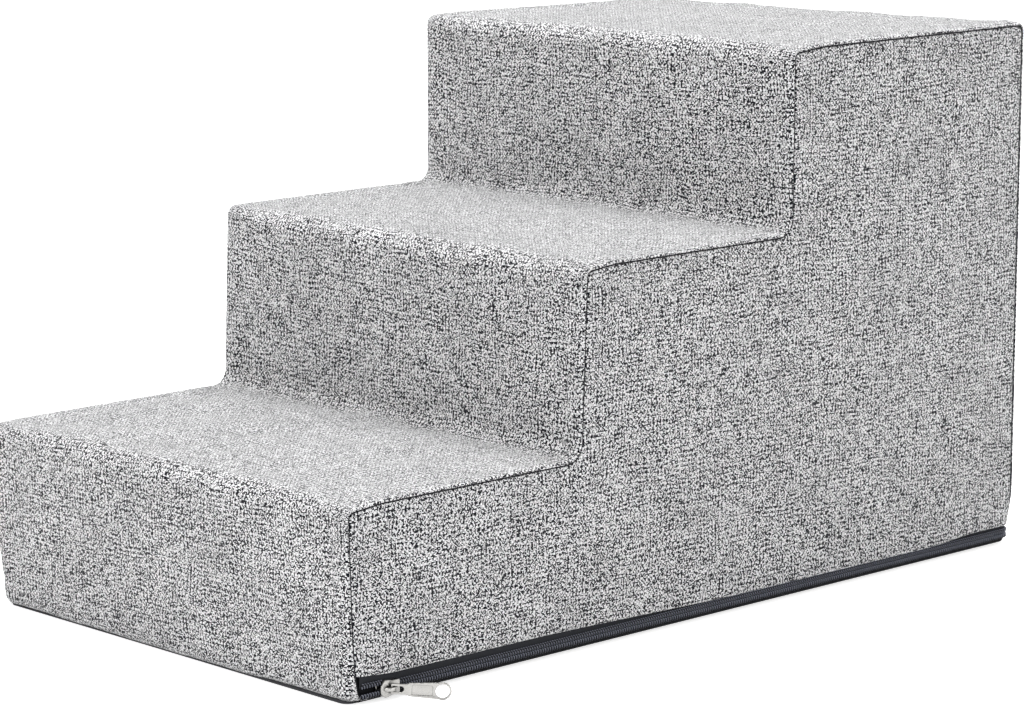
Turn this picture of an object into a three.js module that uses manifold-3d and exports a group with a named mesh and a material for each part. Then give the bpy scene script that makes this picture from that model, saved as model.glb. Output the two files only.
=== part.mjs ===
// A three-step pet stair: three glued slabs of soft foam in a removable fabric cover, which a coil zip
// closes round its lower edge.
//
// Millimetres. +X runs from the front of the stair to its rear, +Z is up, and the zip's slider is parked on
// the -Y side. The origin is on the floor, under the middle of the stair.

import * as THREE from "three";
import { mergeVertices } from "three/addons/utils/BufferGeometryUtils.js";
import Module from "manifold-3d";

const wasm = await Module();
wasm.setup();

// ---------------------------------------------------------------- driving dimensions

// The steps, measured over the cover.
const LOWER_TREAD = 178;
const MIDDLE_TREAD = 177;
const UPPER_TREAD = 217;
const LOWER_RISE = 114;
const MIDDLE_RISE = 112;
const UPPER_RISE = 112;
const STAIR_WIDTH = 325;

// The roundings of the padded shape.
const NOSING_RADIUS = 11;
const REAR_TOP_RADIUS = 11;
const INNER_CORNER_RADIUS = 8;
const EDGE_ROLL_RADIUS = 2.4;
const FRONT_HEM_RADIUS = 6;
const FRONT_HEM_TURN = 70;
const SMALLEST_RADIUS = 0.2;

// How the zip and the tight cover draw the soft form in: the front panel leans in towards its foot, the
// middle riser leans back, and the long edges get rounder towards the front's foot.
const FRONT_TUCK = 3.5;
const MIDDLE_RISER_LEAN = 4;
const FOOT_CORNER_RADIUS = 5.5;
const FOOT_CORNER_HEIGHT = 75;
const FOOT_CORNER_EASE = 1.5;

// The cover's cloths, and the gap that is left between pieces that touch.
const COVER_THICKNESS = 1.2;
const BASE_THICKNESS = 0.9;
const BASE_INSET = 3.6;
const BASE_FRONT_INSET = 4.2;
const BASE_FRONT_CORNER_RADIUS = 4;
const COVER_EDGE_HEIGHT_FRONT = 14.4;
const COVER_EDGE_HEIGHT_REAR = 12.9;
const SEAM_GAP = 0.3;
const GLUE_LINE = 0.3;
const FOAM_FOOT_LIP = 0.6;

// The zip: two tapes, each with one row of the coil chain.
const CHAIN_HEIGHT = 7.4;
const CHAIN_HALF_WIDTH = 3.1;
const CHAIN_THICKNESS = 1.9;
const ROW_GAP = 0.36;
const TOOTH_PITCH = 2.6;
const TOOTH_INTERLOCK = 0.35;
const TOOTH_RELIEF = 0.55;
const TOOTH_SLANT = 0.6;
const TAPE_THICKNESS = 0.6;
const TAPE_EDGE_FROM_CENTRE = 1.5;
const TAPE_OVERLAP = 5.6;
const TAPE_UNDERLAP = 7.4;
const TAPE_CURL_RADIUS = 1.7;
const TAPE_CURL_HEIGHT = 2.9;
const ZIP_CORNER_RADIUS = 9;

// The section of one row's bead: shares of its thickness outwards and of its width across.
const BEAD_SECTION = [
  [0, 0],
  [0.8, 0],
  [1, 0.45],
  [0.72, 1],
  [0, 0.88],
];

// The slider, and where it is parked.
const SLIDER_LENGTH = 14;
const SLIDER_NOSE_FROM_FRONT = 23;
const SLIDER_WALL = 0.75;
const SLIDER_PLATE = 1;
const SLIDER_BACK_PLATE = 0.9;
const SLIDER_BACK_HALF_WIDTH = 5;
const SLIDER_TAIL_CORNER = 0.8;
const SLIDER_TAIL_LENGTH = 5.6;
const SLIDER_NOSE_ROUNDNESS = 0.62;
const SLIDER_NOSE_TURN = 165;
const SLIDER_EASE = 0.25;
const SLIDER_JOIN = 0.2;
const DIAMOND_HALF_WIDTH = 0.9;
const DIAMOND_BLUNTNESS = 0.6;
const DIAMOND_LENGTH = 5.6;
const DIAMOND_TAPER = 3.6;
const CROWN_WIDTH = 2.2;
const CROWN_WALL = 1;
const CROWN_LEG = 1.4;
const CROWN_OPENING_LENGTH = 5.8;
const CROWN_OPENING_HEIGHT = 2.3;
const RUNNING_GAP = 0.3;
const OPEN_END_SPREAD = 0.7;
const SLIDER_CLEARANCE = 0.9;

// The pull tab.
const TAB_THICKNESS = 1.3;
const TAB_BAR = 1.2;
const TAB_EYE_LENGTH = 6;
const TAB_EYE_HALF_WIDTH = 1.6;
const TAB_NECK_HALF_WIDTH = 3;
const TAB_CORNER = 0.6;
const TAB_SHOULDER = 2;
const TAB_PANEL_START = 10;
const TAB_PANEL_HALF_WIDTH = 3.8;
const TAB_RING_FROM_PIVOT = 28;
const TAB_RING_RADIUS = 5;
const TAB_RING_HOLE_RADIUS = 4;
const TAB_RING_JOIN = 70;
const TAB_EASE = 0.2;
const TAB_RECESS_DEPTH = 0.3;
const TAB_RECESS_CORNER = 1;
const TAB_RIM = 0.9;
const TAB_SWING = 40;
const TAB_DROOP = 4;

// How finely round shapes are cut into flats.
const ARC_STEPS = 5;
const SMALL_ARC_STEPS = 8;
const RING_STEPS = 24;
const CROWN_STEPS = 14;
const CORNER_STEPS = 3;
const OPEN_END_STEPS = 15;

// How far the blocks that cut a shape reach past it, and how close two points are to be one.
const CUT_MARGIN = 10;
const SLIDER_CUT_MARGIN = 1.2;
const SAME_POINT = 1e-4;

// ---------------------------------------------------------------- places worked out from them

const STAIR_LENGTH = LOWER_TREAD + MIDDLE_TREAD + UPPER_TREAD;
const MIDDLE_STEP_X = LOWER_TREAD;
const UPPER_STEP_X = LOWER_TREAD + MIDDLE_TREAD;
const LOWER_TOP = LOWER_RISE;
const MIDDLE_TOP = LOWER_TOP + MIDDLE_RISE;
const STAIR_HEIGHT = MIDDLE_TOP + UPPER_RISE;
const SIDE_PLANE = STAIR_WIDTH / 2;

const FOAM_INSET = COVER_THICKNESS + SEAM_GAP;
const HEM_HEIGHT = BASE_THICKNESS + SEAM_GAP;

// Depths behind the side plane: positive is into the stair.
const TAPE_FACE_DEPTH = COVER_THICKNESS + SEAM_GAP;
const TAPE_BACK_DEPTH = TAPE_FACE_DEPTH + TAPE_THICKNESS;
const CHAIN_BACK_DEPTH = TAPE_FACE_DEPTH - SEAM_GAP;
const CHAIN_FACE_DEPTH = CHAIN_BACK_DEPTH - CHAIN_THICKNESS;
const PLATE_INNER_DEPTH = CHAIN_FACE_DEPTH - RUNNING_GAP;
const PLATE_OUTER_DEPTH = PLATE_INNER_DEPTH - SLIDER_PLATE;
const BACK_PLATE_FACE_DEPTH = TAPE_BACK_DEPTH + RUNNING_GAP;
const BACK_PLATE_DEPTH = BACK_PLATE_FACE_DEPTH + SLIDER_BACK_PLATE;
const ZIP_START_X = FRONT_TUCK + FOOT_CORNER_RADIUS + SEAM_GAP;

const SLIDER_CENTRE_X = SLIDER_NOSE_FROM_FRONT + SLIDER_LENGTH / 2;
const CHANNEL_HALF_WIDTH = CHAIN_HALF_WIDTH + RUNNING_GAP;
const ROW_SPREAD = DIAMOND_HALF_WIDTH + RUNNING_GAP + TOOTH_INTERLOCK - ROW_GAP / 2;
const SLIDER_TAIL_HALF_WIDTH = CHANNEL_HALF_WIDTH + SLIDER_WALL;
const SLIDER_NOSE_HALF_WIDTH = SLIDER_TAIL_HALF_WIDTH + ROW_SPREAD;
const PIVOT_DEPTH = PLATE_OUTER_DEPTH - CROWN_OPENING_HEIGHT / 2;

// ---------------------------------------------------------------- geometry helpers

// Points (x, z) along an arc, both ends included.
function arc(centreX, centreZ, radius, fromDegrees, toDegrees, steps = ARC_STEPS) {
  return Array.from({ length: steps + 1 }, (_, i) => {
    const angle = THREE.MathUtils.degToRad(THREE.MathUtils.lerp(fromDegrees, toDegrees, i / steps));
    return new THREE.Vector2(centreX + radius * Math.cos(angle), centreZ + radius * Math.sin(angle));
  });
}

// A closed body through rings of points, all with as many points. The first and last ring are its ends, and
// `endOutline` is a flat picture of a ring, which says how to fill them.
function loft(rings, endOutline) {
  const size = rings[0].length;
  const positions = rings.flat().flatMap((p) => [p.x, p.y, p.z]);
  const faces = [];
  for (let r = 0; r + 1 < rings.length; r++) {
    for (let i = 0; i < size; i++) {
      const a = r * size + i;
      const b = r * size + ((i + 1) % size);
      faces.push(a, b, a + size, b, b + size, a + size);
    }
  }
  const last = (rings.length - 1) * size;
  const clockwise = THREE.ShapeUtils.isClockWise(endOutline);
  for (const triangle of THREE.ShapeUtils.triangulateShape(endOutline, [])) {
    const [a, b, c] = clockwise ? triangle.reverse() : triangle;
    faces.push(a, c, b, last + a, last + b, last + c);
  }
  return facingOut(positions, faces);
}

// An indexed geometry whose faces all point out of the body that they enclose.
function facingOut(positions, faces) {
  const corner = (i) => new THREE.Vector3().fromArray(positions, 3 * i);
  let sixVolumes = 0;
  for (let i = 0; i < faces.length; i += 3) {
    const [a, b, c] = [corner(faces[i]), corner(faces[i + 1]), corner(faces[i + 2])];
    sixVolumes += a.dot(b.cross(c));
  }
  const geometry = new THREE.BufferGeometry();
  geometry.setAttribute("position", new THREE.Float32BufferAttribute(positions, 3));
  geometry.setIndex(sixVolumes < 0 ? [...faces].reverse() : faces);
  return geometry;
}

// A flat outline of points (x, z), extruded across the stair from one y to another, with eased edges.
function extrudeAcross(outline, fromY, toY, ease = 0, holes = []) {
  const shape = new THREE.Shape(outline);
  shape.holes = holes.map((points) => new THREE.Path(points));
  const geometry = new THREE.ExtrudeGeometry(shape, {
    depth: toY - fromY - 2 * ease,
    bevelEnabled: ease > 0,
    bevelThickness: ease,
    bevelSize: ease,
    bevelOffset: -ease,
    bevelSegments: 1,
  });
  return geometry.rotateX(Math.PI / 2).translate(0, toY - ease, 0);
}

function box(lowX, highX, lowY, highY, lowZ, highZ) {
  return new THREE.BoxGeometry(highX - lowX, highY - lowY, highZ - lowZ).translate(
    (lowX + highX) / 2,
    (lowY + highY) / 2,
    (lowZ + highZ) / 2,
  );
}

// A geometry as a solid that can be joined and cut.
function solid(geometry) {
  const bare = new THREE.BufferGeometry();
  bare.setAttribute("position", geometry.getAttribute("position"));
  bare.setIndex(geometry.index);
  const merged = mergeVertices(bare, SAME_POINT);
  return new wasm.Manifold(
    new wasm.Mesh({
      numProp: 3,
      vertProperties: new Float32Array(merged.attributes.position.array),
      triVerts: new Uint32Array(merged.index.array),
    }),
  );
}

function geometryOf(body) {
  const mesh = body.getMesh();
  const geometry = new THREE.BufferGeometry();
  geometry.setAttribute("position", new THREE.BufferAttribute(mesh.vertProperties, 3));
  geometry.setIndex(new THREE.BufferAttribute(mesh.triVerts, 1));
  return geometry;
}

// ---------------------------------------------------------------- the stair's form

// The corner radius at a given inset: a convex corner gets tighter towards the inside.
function convexRadius(radius, inset) {
  return Math.max(radius - inset, SMALLEST_RADIUS);
}

function nosing(x, z, inset) {
  const radius = convexRadius(NOSING_RADIUS, inset);
  return arc(x + inset + radius, z - inset - radius, radius, 180, 90);
}

// The cover bridges an inner corner with a round.
function innerRound(x, z, inset) {
  const radius = INNER_CORNER_RADIUS + inset;
  return arc(x + inset - radius, z - inset + radius, radius, -90, 0);
}

// The foam's slabs meet at a plain corner.
function innerCorner(x, z, inset) {
  return [new THREE.Vector2(x + inset, z - inset)];
}

function rearTop(inset) {
  const radius = convexRadius(REAR_TOP_RADIUS, inset);
  return arc(STAIR_LENGTH - inset - radius, STAIR_HEIGHT - inset - radius, radius, 90, 0);
}

// The side view of the steps, points (x, z) from the lowest nosing to the rear top corner, set in from the
// outside of the cover. Every inset gives as many points.
function stepProfile(inset, inner = innerRound) {
  return [
    ...nosing(0, LOWER_TOP, inset),
    ...inner(MIDDLE_STEP_X, LOWER_TOP, inset),
    ...nosing(MIDDLE_STEP_X + MIDDLE_RISER_LEAN, MIDDLE_TOP, inset),
    ...inner(UPPER_STEP_X, MIDDLE_TOP, inset),
    ...nosing(UPPER_STEP_X, STAIR_HEIGHT, inset),
    ...rearTop(inset),
  ];
}

// How far the front panel is drawn in at a height.
function frontTuck(z) {
  return FRONT_TUCK * (1 - z / LOWER_TOP);
}

// The hem that turns under at the foot of the front panel.
function frontHem(inset) {
  const radius = convexRadius(FRONT_HEM_RADIUS, inset);
  const z = HEM_HEIGHT + FRONT_HEM_RADIUS;
  return arc(frontTuck(z) + inset + radius, z, radius, 180 + FRONT_HEM_TURN, 180, ARC_STEPS - 1);
}

// The front panel between its hem and the height where its edges are no rounder than elsewhere.
function frontPanel(inset) {
  const foot = HEM_HEIGHT + FRONT_HEM_RADIUS;
  return Array.from({ length: ARC_STEPS }, (_, i) => {
    const z = THREE.MathUtils.lerp(foot, FOOT_CORNER_HEIGHT, (i + 1) / ARC_STEPS);
    return new THREE.Vector2(frontTuck(z) + inset, z);
  });
}

// The radius with which a long edge rolls over, at a point of the front panel or of the steps.
function edgeRadius({ x, y: z }) {
  const drop = x < MIDDLE_STEP_X / 2 ? THREE.MathUtils.clamp(1 - z / FOOT_CORNER_HEIGHT, 0, 1) : 0;
  return THREE.MathUtils.lerp(EDGE_ROLL_RADIUS, FOOT_CORNER_RADIUS, drop ** FOOT_CORNER_EASE);
}

const at = (point, y) => new THREE.Vector3(point.x, y, point.y);

// Across the stair, at a given depth under its skin: stations of inset and y. The two long edges roll over
// down to the seams on the sides.
function acrossStair(depth, edge = EDGE_ROLL_RADIUS) {
  const near = arc(edge, edge, edge - depth, 270, 180, ARC_STEPS - 1);
  const stations = near.map((p) => ({ inset: p.x, y: p.y - SIDE_PLANE }));
  return [...stations, ...stations.map(({ inset, y }) => ({ inset, y: -y })).reverse()];
}

// The surface at a given depth under the skin, as strips that follow the path along the stair: the first lies
// at the near side's seam and the last at the far side's.
function skin(path, depth) {
  const edges = path(0).map(edgeRadius);
  return acrossStair(depth).map((_, strip) =>
    edges.map((edge, i) => {
      const { inset, y } = acrossStair(depth, edge)[strip];
      return at(path(inset)[i], y);
    }),
  );
}

// ---------------------------------------------------------------- the foam

// The stair's block, inside its cover.
function foamBlock() {
  const side = (inset) => {
    const hem = frontHem(inset);
    const foot = new THREE.Vector2(hem[0].x + FOAM_FOOT_LIP, HEM_HEIGHT);
    const heel = new THREE.Vector2(STAIR_LENGTH - inset, HEM_HEIGHT);
    return [foot, ...hem, ...frontPanel(inset), ...stepProfile(inset, innerCorner), heel];
  };
  return solid(loft(skin(side, FOAM_INSET), side(FOAM_INSET)));
}

// A plate with the outline of the stair's foot: its near, rear and far edges follow the zip.
function footPlate(inset, lowZ, highZ, frontX, frontCornerRadius) {
  const rear = STAIR_LENGTH - inset;
  const side = SIDE_PLANE - inset;
  const rearRadius = convexRadius(ZIP_CORNER_RADIUS + TAPE_FACE_DEPTH, inset);
  const front = frontCornerRadius;
  const outline = [
    ...arc(frontX + front, -side + front, front, 180, 270),
    ...arc(rear - rearRadius, -side + rearRadius, rearRadius, 270, 360),
    ...arc(rear - rearRadius, side - rearRadius, rearRadius, 0, 90),
    ...arc(frontX + front, side - front, front, 90, 180),
  ];
  const rings = [lowZ, highZ].map((z) => outline.map((p) => new THREE.Vector3(p.x, p.y, z)));
  return loft(rings, outline);
}

// The step along the lower edge of the foam, in which the zip lies.
function zipRebate(inset, height) {
  const around = box(
    ZIP_START_X - SEAM_GAP,
    STAIR_LENGTH + CUT_MARGIN,
    -SIDE_PLANE - CUT_MARGIN,
    SIDE_PLANE + CUT_MARGIN,
    -CUT_MARGIN,
    height,
  );
  const core = footPlate(inset, -2 * CUT_MARGIN, height + CUT_MARGIN, -CUT_MARGIN, SMALLEST_RADIUS);
  return solid(around).subtract(solid(core));
}

function foamSlab(block, lowZ, highZ) {
  const layer = box(-CUT_MARGIN, STAIR_LENGTH + CUT_MARGIN, -SIDE_PLANE, SIDE_PLANE, lowZ, highZ);
  return block.intersect(solid(layer));
}

function foamSlabs() {
  const block = foamBlock();
  const rebateHeight = COVER_EDGE_HEIGHT_FRONT + TAPE_OVERLAP + SEAM_GAP;
  const tapeEdge = TAPE_FACE_DEPTH + TAPE_UNDERLAP + SEAM_GAP;
  const lower = foamSlab(block, 0, LOWER_TOP - FOAM_INSET - GLUE_LINE / 2)
    .subtract(zipRebate(BACK_PLATE_DEPTH + SLIDER_CLEARANCE, rebateHeight))
    .subtract(zipRebate(tapeEdge, HEM_HEIGHT + TAPE_THICKNESS + SEAM_GAP));
  const middle = foamSlab(
    block,
    LOWER_TOP - FOAM_INSET + GLUE_LINE / 2,
    MIDDLE_TOP - FOAM_INSET - GLUE_LINE / 2,
  );
  const upper = foamSlab(block, MIDDLE_TOP - FOAM_INSET + GLUE_LINE / 2, STAIR_HEIGHT);
  return [lower, middle, upper].map(geometryOf);
}

// ---------------------------------------------------------------- the cover

// One strip of cloth that runs up the front, over every step and down the rear, and rolls over both long
// edges to the side seams.
function treadBand() {
  const path = (inset) => [
    ...frontHem(inset),
    ...frontPanel(inset),
    ...stepProfile(inset),
    new THREE.Vector2(STAIR_LENGTH - inset, COVER_EDGE_HEIGHT_REAR),
  ];
  const outside = skin(path, 0);
  const strips = [...outside, ...skin(path, COVER_THICKNESS).reverse()];
  const rings = path(0).map((_, i) => strips.map((strip) => strip[i]));
  const lift = (i) => (i < outside.length ? COVER_THICKNESS : 0);
  return loft(rings, strips.map((strip, i) => new THREE.Vector2(strip[0].y, lift(i))));
}

// The cloth of one side, from its seam with the band to the zip.
function sidePanel(fromY, toY) {
  const inset = EDGE_ROLL_RADIUS + SEAM_GAP;
  const seam = (p) => new THREE.Vector2(frontTuck(p.y) + edgeRadius(p) + SEAM_GAP, p.y);
  const foot = new THREE.Vector2(0, COVER_EDGE_HEIGHT_FRONT);
  const front = frontPanel(0).filter((p) => p.y > COVER_EDGE_HEIGHT_FRONT + SEAM_GAP);
  const outline = [
    ...[foot, ...front].map(seam),
    ...stepProfile(inset),
    new THREE.Vector2(STAIR_LENGTH - inset, COVER_EDGE_HEIGHT_REAR),
  ];
  return extrudeAcross(outline, fromY, toY);
}

// ---------------------------------------------------------------- the zip

// How far the rows of the chain stand apart at x on the near side: closed behind the slider, parted round its
// diamond, and a little more at the free end.
function rowSpread(x) {
  const tip = SLIDER_NOSE_FROM_FRONT + DIAMOND_LENGTH + RUNNING_GAP;
  const aroundDiamond = THREE.MathUtils.smoothstep(tip - x, 0, DIAMOND_TAPER);
  const towardsEnd = THREE.MathUtils.smoothstep(
    SLIDER_NOSE_FROM_FRONT - x,
    0,
    SLIDER_NOSE_FROM_FRONT - ZIP_START_X,
  );
  return ROW_SPREAD * aroundDiamond + OPEN_END_SPREAD * towardsEnd;
}

// Stations of the zip's line, from the free end on the near side, round the rear, to the far side's front:
// a point on the side plane, the directions out of the stair and along the zip, the spread of the rows, and
// which way the teeth's inner ends step there. The near side's run has a station at every xs.
function zipLine(xs, toothOf = () => 0) {
  const radius = ZIP_CORNER_RADIUS + TAPE_FACE_DEPTH;
  const cornerX = STAIR_LENGTH - radius;
  const cornerY = SIDE_PLANE - radius;
  const station = (x, y, degrees, spread = 0, tooth = 0) => {
    const angle = THREE.MathUtils.degToRad(degrees);
    const out = new THREE.Vector3(Math.cos(angle), Math.sin(angle), 0);
    const along = new THREE.Vector3(-out.y, out.x, 0);
    return { place: new THREE.Vector3(x, y, 0), out, along, spread, tooth };
  };
  const near = xs.map((x, i) => station(x, -SIDE_PLANE, -90, rowSpread(x), toothOf(i)));
  const turn = (centreY, from, to) =>
    arc(cornerX, centreY, radius, from, to).map((p, i) =>
      station(p.x, p.y, THREE.MathUtils.lerp(from, to, i / ARC_STEPS)),
    );
  return [...near, ...turn(-cornerY, -90, 0), ...turn(cornerY, 0, 90), station(ZIP_START_X, SIDE_PLANE, 90)];
}

// The stations that the tapes need, close together only where the rows part.
function tapeLine() {
  const openEnd = SLIDER_NOSE_FROM_FRONT + DIAMOND_LENGTH + RUNNING_GAP - ZIP_START_X;
  const step = openEnd / OPEN_END_STEPS;
  return zipLine(Array.from({ length: OPEN_END_STEPS + 1 }, (_, i) => ZIP_START_X + step * i));
}

// The stations of the toothed chain: one at each tooth and one between each two.
function chainLine() {
  const run = STAIR_LENGTH - ZIP_CORNER_RADIUS - TAPE_FACE_DEPTH - TOOTH_PITCH - ZIP_START_X;
  const teeth = Math.round(run / TOOTH_PITCH);
  const halfPitch = run / (2 * teeth);
  const xs = Array.from({ length: 2 * teeth + 1 }, (_, i) => ZIP_START_X + halfPitch * i);
  return zipLine(xs, (i) => (i % 2 ? 1 : -1));
}

// A section of points (depth, z, forward), given for each station, carried along the zip's line.
function alongZip(line, section) {
  const rings = line.map((station) => {
    const { place, out, along } = station;
    return section(station).map(([depth, z, forward = 0]) =>
      place.clone().addScaledVector(out, -depth).addScaledVector(along, forward).setZ(z),
    );
  });
  return loft(rings, section(line[0]).map(([depth, z]) => new THREE.Vector2(depth, z)));
}

function upperTape() {
  const top = COVER_EDGE_HEIGHT_FRONT + TAPE_OVERLAP;
  return alongZip(tapeLine(), ({ spread }) => {
    const edge = CHAIN_HEIGHT + TAPE_EDGE_FROM_CENTRE + spread / 2;
    return [
      [TAPE_FACE_DEPTH, edge],
      [TAPE_FACE_DEPTH, top],
      [TAPE_BACK_DEPTH, top],
      [TAPE_BACK_DEPTH, edge],
    ];
  });
}

// The lower tape hangs from the chain, curls under the stair and lies on the base cloth's edge.
function lowerTape() {
  const curl = (radius, from, to) =>
    arc(TAPE_FACE_DEPTH + TAPE_CURL_RADIUS, TAPE_CURL_HEIGHT, radius, from, to).map((p) => [p.x, p.y]);
  const outer = curl(TAPE_CURL_RADIUS, 180, 270);
  const inner = curl(TAPE_CURL_RADIUS - TAPE_THICKNESS, 270, 180);
  const legEnd = TAPE_FACE_DEPTH + TAPE_UNDERLAP;
  const legLow = TAPE_CURL_HEIGHT - TAPE_CURL_RADIUS;
  return alongZip(tapeLine(), ({ spread }) => {
    const edge = CHAIN_HEIGHT - TAPE_EDGE_FROM_CENTRE - spread / 2;
    return [
      [TAPE_FACE_DEPTH, edge],
      ...outer,
      [legEnd, legLow],
      [legEnd, legLow + TAPE_THICKNESS],
      ...inner,
      [TAPE_BACK_DEPTH, edge],
    ];
  });
}

// One row of the chain: a round-backed bead with a slanted tooth at every second station. The teeth's inner
// ends step into the gaps of the other row. `side` is +1 above the middle and -1 below it.
function chainRow(side) {
  const width = CHAIN_HALF_WIDTH - ROW_GAP / 2;
  return alongZip(chainLine(), ({ spread, tooth }) => {
    const relief = tooth === side ? TOOTH_RELIEF : 0;
    return BEAD_SECTION.map(([out, across]) => [
      CHAIN_BACK_DEPTH - out * (CHAIN_THICKNESS - relief),
      CHAIN_HEIGHT + side * (ROW_GAP / 2 + spread + width * across) + (1 - across) * TOOTH_INTERLOCK * tooth,
      TOOTH_SLANT * across * Math.abs(tooth),
    ]);
  });
}

// ---------------------------------------------------------------- the slider

// The plates' outline round the chain's middle: straight at the tail, wide and round at the nose, where the
// two rows come in. Points (x, z) with the slider's middle at x = 0.
function sliderOutline(tailHalfWidth, noseHalfWidth) {
  const half = SLIDER_LENGTH / 2;
  const noseRound = noseHalfWidth * SLIDER_NOSE_ROUNDNESS;
  const corner = SLIDER_TAIL_CORNER;
  const upper = [
    ...arc(half - corner, tailHalfWidth - corner, corner, 0, 90, CORNER_STEPS),
    new THREE.Vector2(half - SLIDER_TAIL_LENGTH, tailHalfWidth),
    ...arc(-half + noseRound, noseHalfWidth - noseRound, noseRound, 90, SLIDER_NOSE_TURN, SMALL_ARC_STEPS),
  ];
  const lower = upper.map((p) => new THREE.Vector2(p.x, -p.y)).reverse();
  return [...upper, ...lower];
}

// The two flanges of the top plate, which hold the chain in the channel: the plate's outline without the
// channel, whose mouths part round the diamond.
function sliderFlanges() {
  const half = SLIDER_LENGTH / 2;
  const tailX = half - SLIDER_TAIL_LENGTH;
  const mouthX = -half + DIAMOND_LENGTH - DIAMOND_TAPER;
  const ends = half + SLIDER_CUT_MARGIN;
  const upper = [
    new THREE.Vector2(ends, CHANNEL_HALF_WIDTH),
    new THREE.Vector2(tailX, CHANNEL_HALF_WIDTH),
    new THREE.Vector2(mouthX, CHANNEL_HALF_WIDTH + ROW_SPREAD),
    new THREE.Vector2(-ends, CHANNEL_HALF_WIDTH + ROW_SPREAD),
  ];
  const channel = [...upper, ...upper.map((p) => new THREE.Vector2(p.x, -p.y)).reverse()];
  const deep = TAPE_FACE_DEPTH - RUNNING_GAP;
  const outline = sliderOutline(SLIDER_TAIL_HALF_WIDTH, SLIDER_NOSE_HALF_WIDTH);
  const whole = extrudeAcross(outline, PLATE_INNER_DEPTH - SLIDER_JOIN, deep);
  const inside = extrudeAcross(channel, PLATE_INNER_DEPTH - SLIDER_CUT_MARGIN, deep + SLIDER_CUT_MARGIN);
  return solid(whole).subtract(solid(inside));
}

// The wedge that joins the plates at the nose and parts the rows.
function sliderDiamond() {
  const nose = -SLIDER_LENGTH / 2;
  const widest = nose + DIAMOND_LENGTH - DIAMOND_TAPER;
  const blunt = nose + DIAMOND_BLUNTNESS;
  const outline = [
    new THREE.Vector2(nose + DIAMOND_LENGTH, 0),
    new THREE.Vector2(widest, DIAMOND_HALF_WIDTH),
    new THREE.Vector2(blunt, DIAMOND_HALF_WIDTH / 2),
    new THREE.Vector2(blunt, -DIAMOND_HALF_WIDTH / 2),
    new THREE.Vector2(widest, -DIAMOND_HALF_WIDTH),
  ];
  return solid(extrudeAcross(outline, PLATE_INNER_DEPTH - SLIDER_JOIN, BACK_PLATE_FACE_DEPTH + SLIDER_JOIN));
}

// The bridge over the top plate that the pull tab hangs in: a half ring, seen from above.
function sliderCrown() {
  const halfArch = (halfLength, height) =>
    arc(0, 0, 1, 0, 180, CROWN_STEPS).map((p) => [halfLength * p.x, height * p.y]);
  const outer = halfArch(CROWN_OPENING_LENGTH / 2 + CROWN_LEG, CROWN_OPENING_HEIGHT + CROWN_WALL);
  const inner = halfArch(CROWN_OPENING_LENGTH / 2, CROWN_OPENING_HEIGHT).reverse();
  const outline = [
    [outer[0][0], -SLIDER_JOIN],
    ...outer,
    [outer.at(-1)[0], -SLIDER_JOIN],
    [inner[0][0], -SLIDER_JOIN],
    ...inner,
    [inner.at(-1)[0], -SLIDER_JOIN],
  ];
  const ring = (z) => outline.map(([x, rise]) => new THREE.Vector3(x, PLATE_OUTER_DEPTH - rise, z));
  const picture = outline.map(([x, rise]) => new THREE.Vector2(x, rise));
  return solid(loft([-CROWN_WIDTH / 2, CROWN_WIDTH / 2].map(ring), picture));
}

function sliderBody() {
  const outline = sliderOutline(SLIDER_TAIL_HALF_WIDTH, SLIDER_NOSE_HALF_WIDTH);
  const backOutline = sliderOutline(SLIDER_TAIL_HALF_WIDTH, SLIDER_BACK_HALF_WIDTH);
  const topPlate = solid(extrudeAcross(outline, PLATE_OUTER_DEPTH, PLATE_INNER_DEPTH, SLIDER_EASE));
  const backPlate = solid(extrudeAcross(backOutline, BACK_PLATE_FACE_DEPTH, BACK_PLATE_DEPTH, SLIDER_EASE));
  const body = topPlate.add(sliderFlanges()).add(sliderDiamond()).add(backPlate).add(sliderCrown());
  return geometryOf(body);
}

// ---------------------------------------------------------------- the pull tab

// The tab lies along +X from its pivot, with its faces towards -Y and +Y: an eye that loops round the crown,
// a neck, a panel with raised rims, and a ring.
function pullTab() {
  const shoulder = [
    new THREE.Vector2(-TAB_BAR / 2, TAB_NECK_HALF_WIDTH - TAB_CORNER),
    new THREE.Vector2(TAB_CORNER - TAB_BAR / 2, TAB_NECK_HALF_WIDTH),
    new THREE.Vector2(TAB_PANEL_START - TAB_SHOULDER, TAB_NECK_HALF_WIDTH),
    new THREE.Vector2(TAB_PANEL_START, TAB_PANEL_HALF_WIDTH),
  ];
  const end = 180 - TAB_RING_JOIN;
  const outline = [
    ...shoulder.map((p) => new THREE.Vector2(p.x, -p.y)),
    ...arc(TAB_RING_FROM_PIVOT, 0, TAB_RING_RADIUS, -end, end, RING_STEPS),
    ...shoulder.reverse(),
  ];
  const eyeEnd = TAB_BAR / 2 + TAB_EYE_LENGTH - TAB_EYE_HALF_WIDTH;
  const eye = [
    new THREE.Vector2(TAB_BAR / 2, TAB_EYE_HALF_WIDTH),
    new THREE.Vector2(TAB_BAR / 2, -TAB_EYE_HALF_WIDTH),
    ...arc(eyeEnd, 0, TAB_EYE_HALF_WIDTH, -90, 90, SMALL_ARC_STEPS),
  ];
  const ringHole = arc(TAB_RING_FROM_PIVOT, 0, TAB_RING_HOLE_RADIUS, 0, 360, RING_STEPS).slice(1);
  const half = TAB_THICKNESS / 2;
  const blank = solid(extrudeAcross(outline, -half, half, TAB_EASE, [eye, ringHole]));
  return geometryOf(blank.subtract(tabRecess(-1)).subtract(tabRecess(1)));
}

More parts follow.
